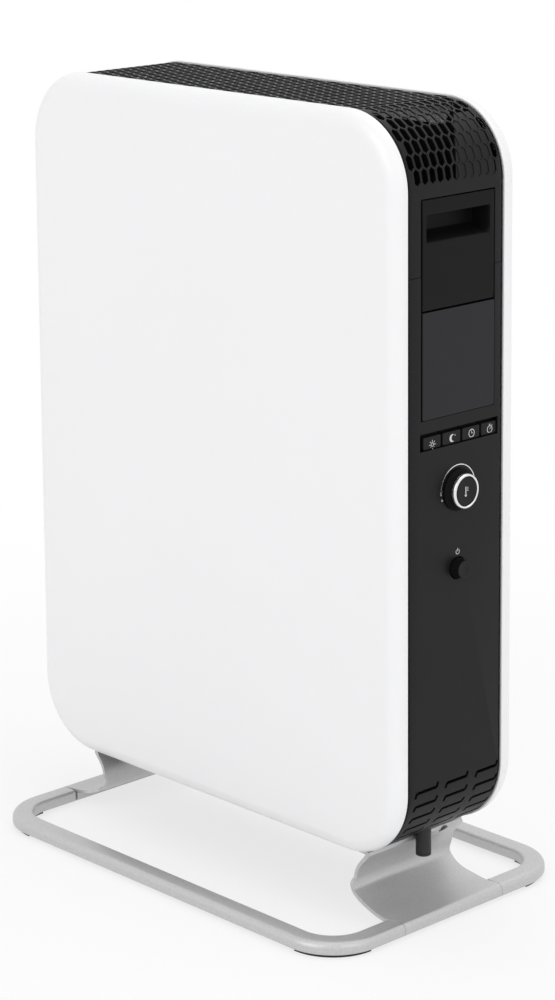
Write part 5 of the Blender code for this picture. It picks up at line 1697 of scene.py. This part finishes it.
CAMERA_AZIMUTH_DEG = 46.676
CAMERA_ELEVATION_DEG = 10.429
CAMERA_ROLL_DEG = -0.459
CAMERA_DISTANCE = 2.3666
CAMERA_TARGET = Vector((0.01335, -0.006, 0.5200))
CAMERA_LENS = 106.41
CAMERA_SHIFT_Y = -0.259
CAMERA_SENSOR_HEIGHT = 36
CAMERA_NEAREST = 0.05
ROOM_LIGHT = 0.80
ROOM_SLANT = 0.20
FLOOR_HALF = 6.0
FLOOR_FADE = (0.45, 1.10)
FLOOR_GLOW = 0.70

# Each lamp's name, place, the point it is aimed at, width, height and power in watts

SOFTBOXES = (
    ("front_softbox", (0.1, -3.1, 1.9), (0, 0, 0.35), 2.2, 2.2, 24),
    ("side_softbox", (3.0, -0.4, 1.6), (0, 0, 0.3), 1.6, 1.8, 8),
    ("top_softbox", (0, 0.8, 3.0), (0, 0, 0.3), 2.6, 2.6, 18),
)


def looked_at(tree):
    """One for camera, glossy and transmission rays, and zero for the rest."""
    path = tree.nodes.new("ShaderNodeLightPath")
    value = path.outputs["Is Camera Ray"]
    for ray in ("Is Glossy Ray", "Is Transmission Ray"):
        value = calculated(tree, "MAXIMUM", value, path.outputs[ray])
    return value


def shown_white(tree, lit, white, share, end):
    """Shows a share of plain white to the looked-at rays, and the lit shader to the rest."""
    white.inputs["Color"].default_value = (1, 1, 1, 1)
    white.inputs["Strength"].default_value = 1.0
    factor = looked_at(tree)
    if share:
        factor = calculated(tree, "MULTIPLY", factor, share)
    mix = tree.nodes.new("ShaderNodeMixShader")
    joined(tree, factor, mix.inputs[0])
    joined(tree, lit, mix.inputs[1])
    joined(tree, white.outputs[0], mix.inputs[2])
    joined(tree, mix.outputs["Shader"], end)


def fading_floor():
    """Pale floor that keeps the heater's shadow and turns plain white further out."""
    made = bpy.data.materials.new("pale_floor")
    made.use_nodes = True
    tree = made.node_tree
    shader = tree.nodes["Principled BSDF"]
    shader.inputs["Roughness"].default_value = 0.9
    shader.inputs["Specular IOR Level"].default_value = 0.1
    shader.inputs["Base Color"].default_value = (*bpy.context.scene.heater_colours.floor, 1)
    place = tree.nodes.new("ShaderNodeTexCoord")
    away = tree.nodes.new("ShaderNodeVectorMath")
    away.operation = "LENGTH"
    joined(tree, place.outputs["Object"], away.inputs[0])
    fade = spread_to(tree, away.outputs["Value"], FLOOR_GLOW, 1.0, FLOOR_FADE, "SMOOTHSTEP")
    shown_white(
        tree, shader.outputs["BSDF"], tree.nodes.new("ShaderNodeEmission"), fade,
        tree.nodes["Material Output"].inputs["Surface"],
    )
    return made


def softbox(name, place, aim, width, height, energy):
    """A rectangular lamp aimed at a point."""
    lamp = bpy.data.lights.new(name, "AREA")
    lamp.shape = "RECTANGLE"
    lamp.size = width
    lamp.size_y = height
    lamp.energy = energy
    piece = placed(name, lamp)
    piece.location = place
    piece.rotation_euler = (Vector(aim) - Vector(place)).to_track_quat("-Z", "Y").to_euler()


class HEATER_OT_stage(bpy.types.Operator):
    """Make the pale floor, the soft light and the camera."""

    bl_idname = "heater.stage"
    bl_label = "Stage"

    def execute(self, context):
        scene = context.scene
        scene.view_settings.view_transform = "Standard"
        world = bpy.data.worlds.new("pale_room")
        world.use_nodes = True
        scene.world = world
        tree = world.node_tree
        lit = tree.nodes["Background"]
        lit.inputs["Color"].default_value = (1, 1, 1, 1)
        towards = tree.nodes.new("ShaderNodeSeparateXYZ")
        joined(
            tree, tree.nodes.new("ShaderNodeTexCoord").outputs["Generated"],
            towards.inputs["Vector"],
        )
        slant = calculated(tree, "MULTIPLY_ADD", towards.outputs["X"], ROOM_SLANT, ROOM_LIGHT)
        joined(tree, slant, lit.inputs["Strength"])
        shown_white(
            tree, lit.outputs["Background"], tree.nodes.new("ShaderNodeBackground"), None,
            tree.nodes["World Output"].inputs["Surface"],
        )
        work = bmesh.new()
        corners = rectangle(-FLOOR_HALF, -FLOOR_HALF, FLOOR_HALF, FLOOR_HALF)
        work.faces.new([work.verts.new((x, y, 0)) for x, y in corners])
        mesh = bpy.data.meshes.new("floor")
        work.to_mesh(mesh)
        work.free()
        mesh.materials.append(fading_floor())
        placed("floor", mesh)
        for lamp in SOFTBOXES:
            softbox(*lamp)
        lens = bpy.data.cameras.new("camera")
        lens.lens = CAMERA_LENS
        lens.sensor_fit = "VERTICAL"
        lens.sensor_height = CAMERA_SENSOR_HEIGHT
        lens.clip_start = CAMERA_NEAREST
        lens.shift_y = CAMERA_SHIFT_Y
        camera = placed("camera", lens)
        turn = math.radians(CAMERA_AZIMUTH_DEG)
        lift = math.radians(CAMERA_ELEVATION_DEG)
        roll = math.radians(CAMERA_ROLL_DEG)
        back = Vector((
            math.sin(turn) * math.cos(lift), -math.cos(turn) * math.cos(lift), math.sin(lift)
        ))
        right = Vector((math.cos(turn), math.sin(turn), 0))
        up = back.cross(right)
        rolled_right = math.cos(roll) * right + math.sin(roll) * up
        rolled_up = math.cos(roll) * up - math.sin(roll) * right
        pose = Matrix((rolled_right, rolled_up, back)).transposed().to_4x4()
        pose.translation = CAMERA_TARGET + back * CAMERA_DISTANCE
        camera.matrix_world = pose
        scene.camera = camera
        return {"FINISHED"}


STEPS = (
    HEATER_OT_panels, HEATER_OT_grille, HEATER_OT_casing, HEATER_OT_fascia, HEATER_OT_keys,
    HEATER_OT_dial, HEATER_OT_power, HEATER_OT_gland, HEATER_OT_rails, HEATER_OT_brackets,
    HEATER_OT_inside, HEATER_OT_stage,
)


class HEATER_PT_sidebar(bpy.types.Panel):
    """Lists the heater's pieces."""

    bl_idname = "HEATER_PT_sidebar"
    bl_label = "Heater"
    bl_space_type = "VIEW_3D"
    bl_region_type = "UI"
    bl_category = "Heater"

    def draw(self, context):
        for step in STEPS:
            self.layout.operator(step.bl_idname)
        for group in (context.scene.heater_sizes, context.scene.heater_colours):
            box = self.layout.box()
            for name in type(group).__annotations__:
                box.prop(group, name)


CLASSES = (HeaterSizes, HeaterColours) + STEPS + (HEATER_PT_sidebar,)


def register():
    """Registers the classes and the scene's settings."""
    for item in CLASSES:
        bpy.utils.register_class(item)
    bpy.types.Scene.heater_sizes = PointerProperty(type=HeaterSizes)
    bpy.types.Scene.heater_colours = PointerProperty(type=HeaterColours)


def unregister():
    """Takes away what register added."""
    del bpy.types.Scene.heater_colours
    del bpy.types.Scene.heater_sizes
    for item in reversed(CLASSES):
        bpy.utils.unregister_class(item)


def main():
    """Builds the heater and its stage."""
    register()
    bpy.ops.heater.panels()
    bpy.ops.heater.grille()
    bpy.ops.heater.casing()
    bpy.ops.heater.fascia()
    bpy.ops.heater.keys()
    bpy.ops.heater.dial()
    bpy.ops.heater.power()
    bpy.ops.heater.gland()
    bpy.ops.heater.rails()
    bpy.ops.heater.brackets()
    bpy.ops.heater.inside()
    bpy.ops.heater.stage()


if __name__ == "__main__":
    main()
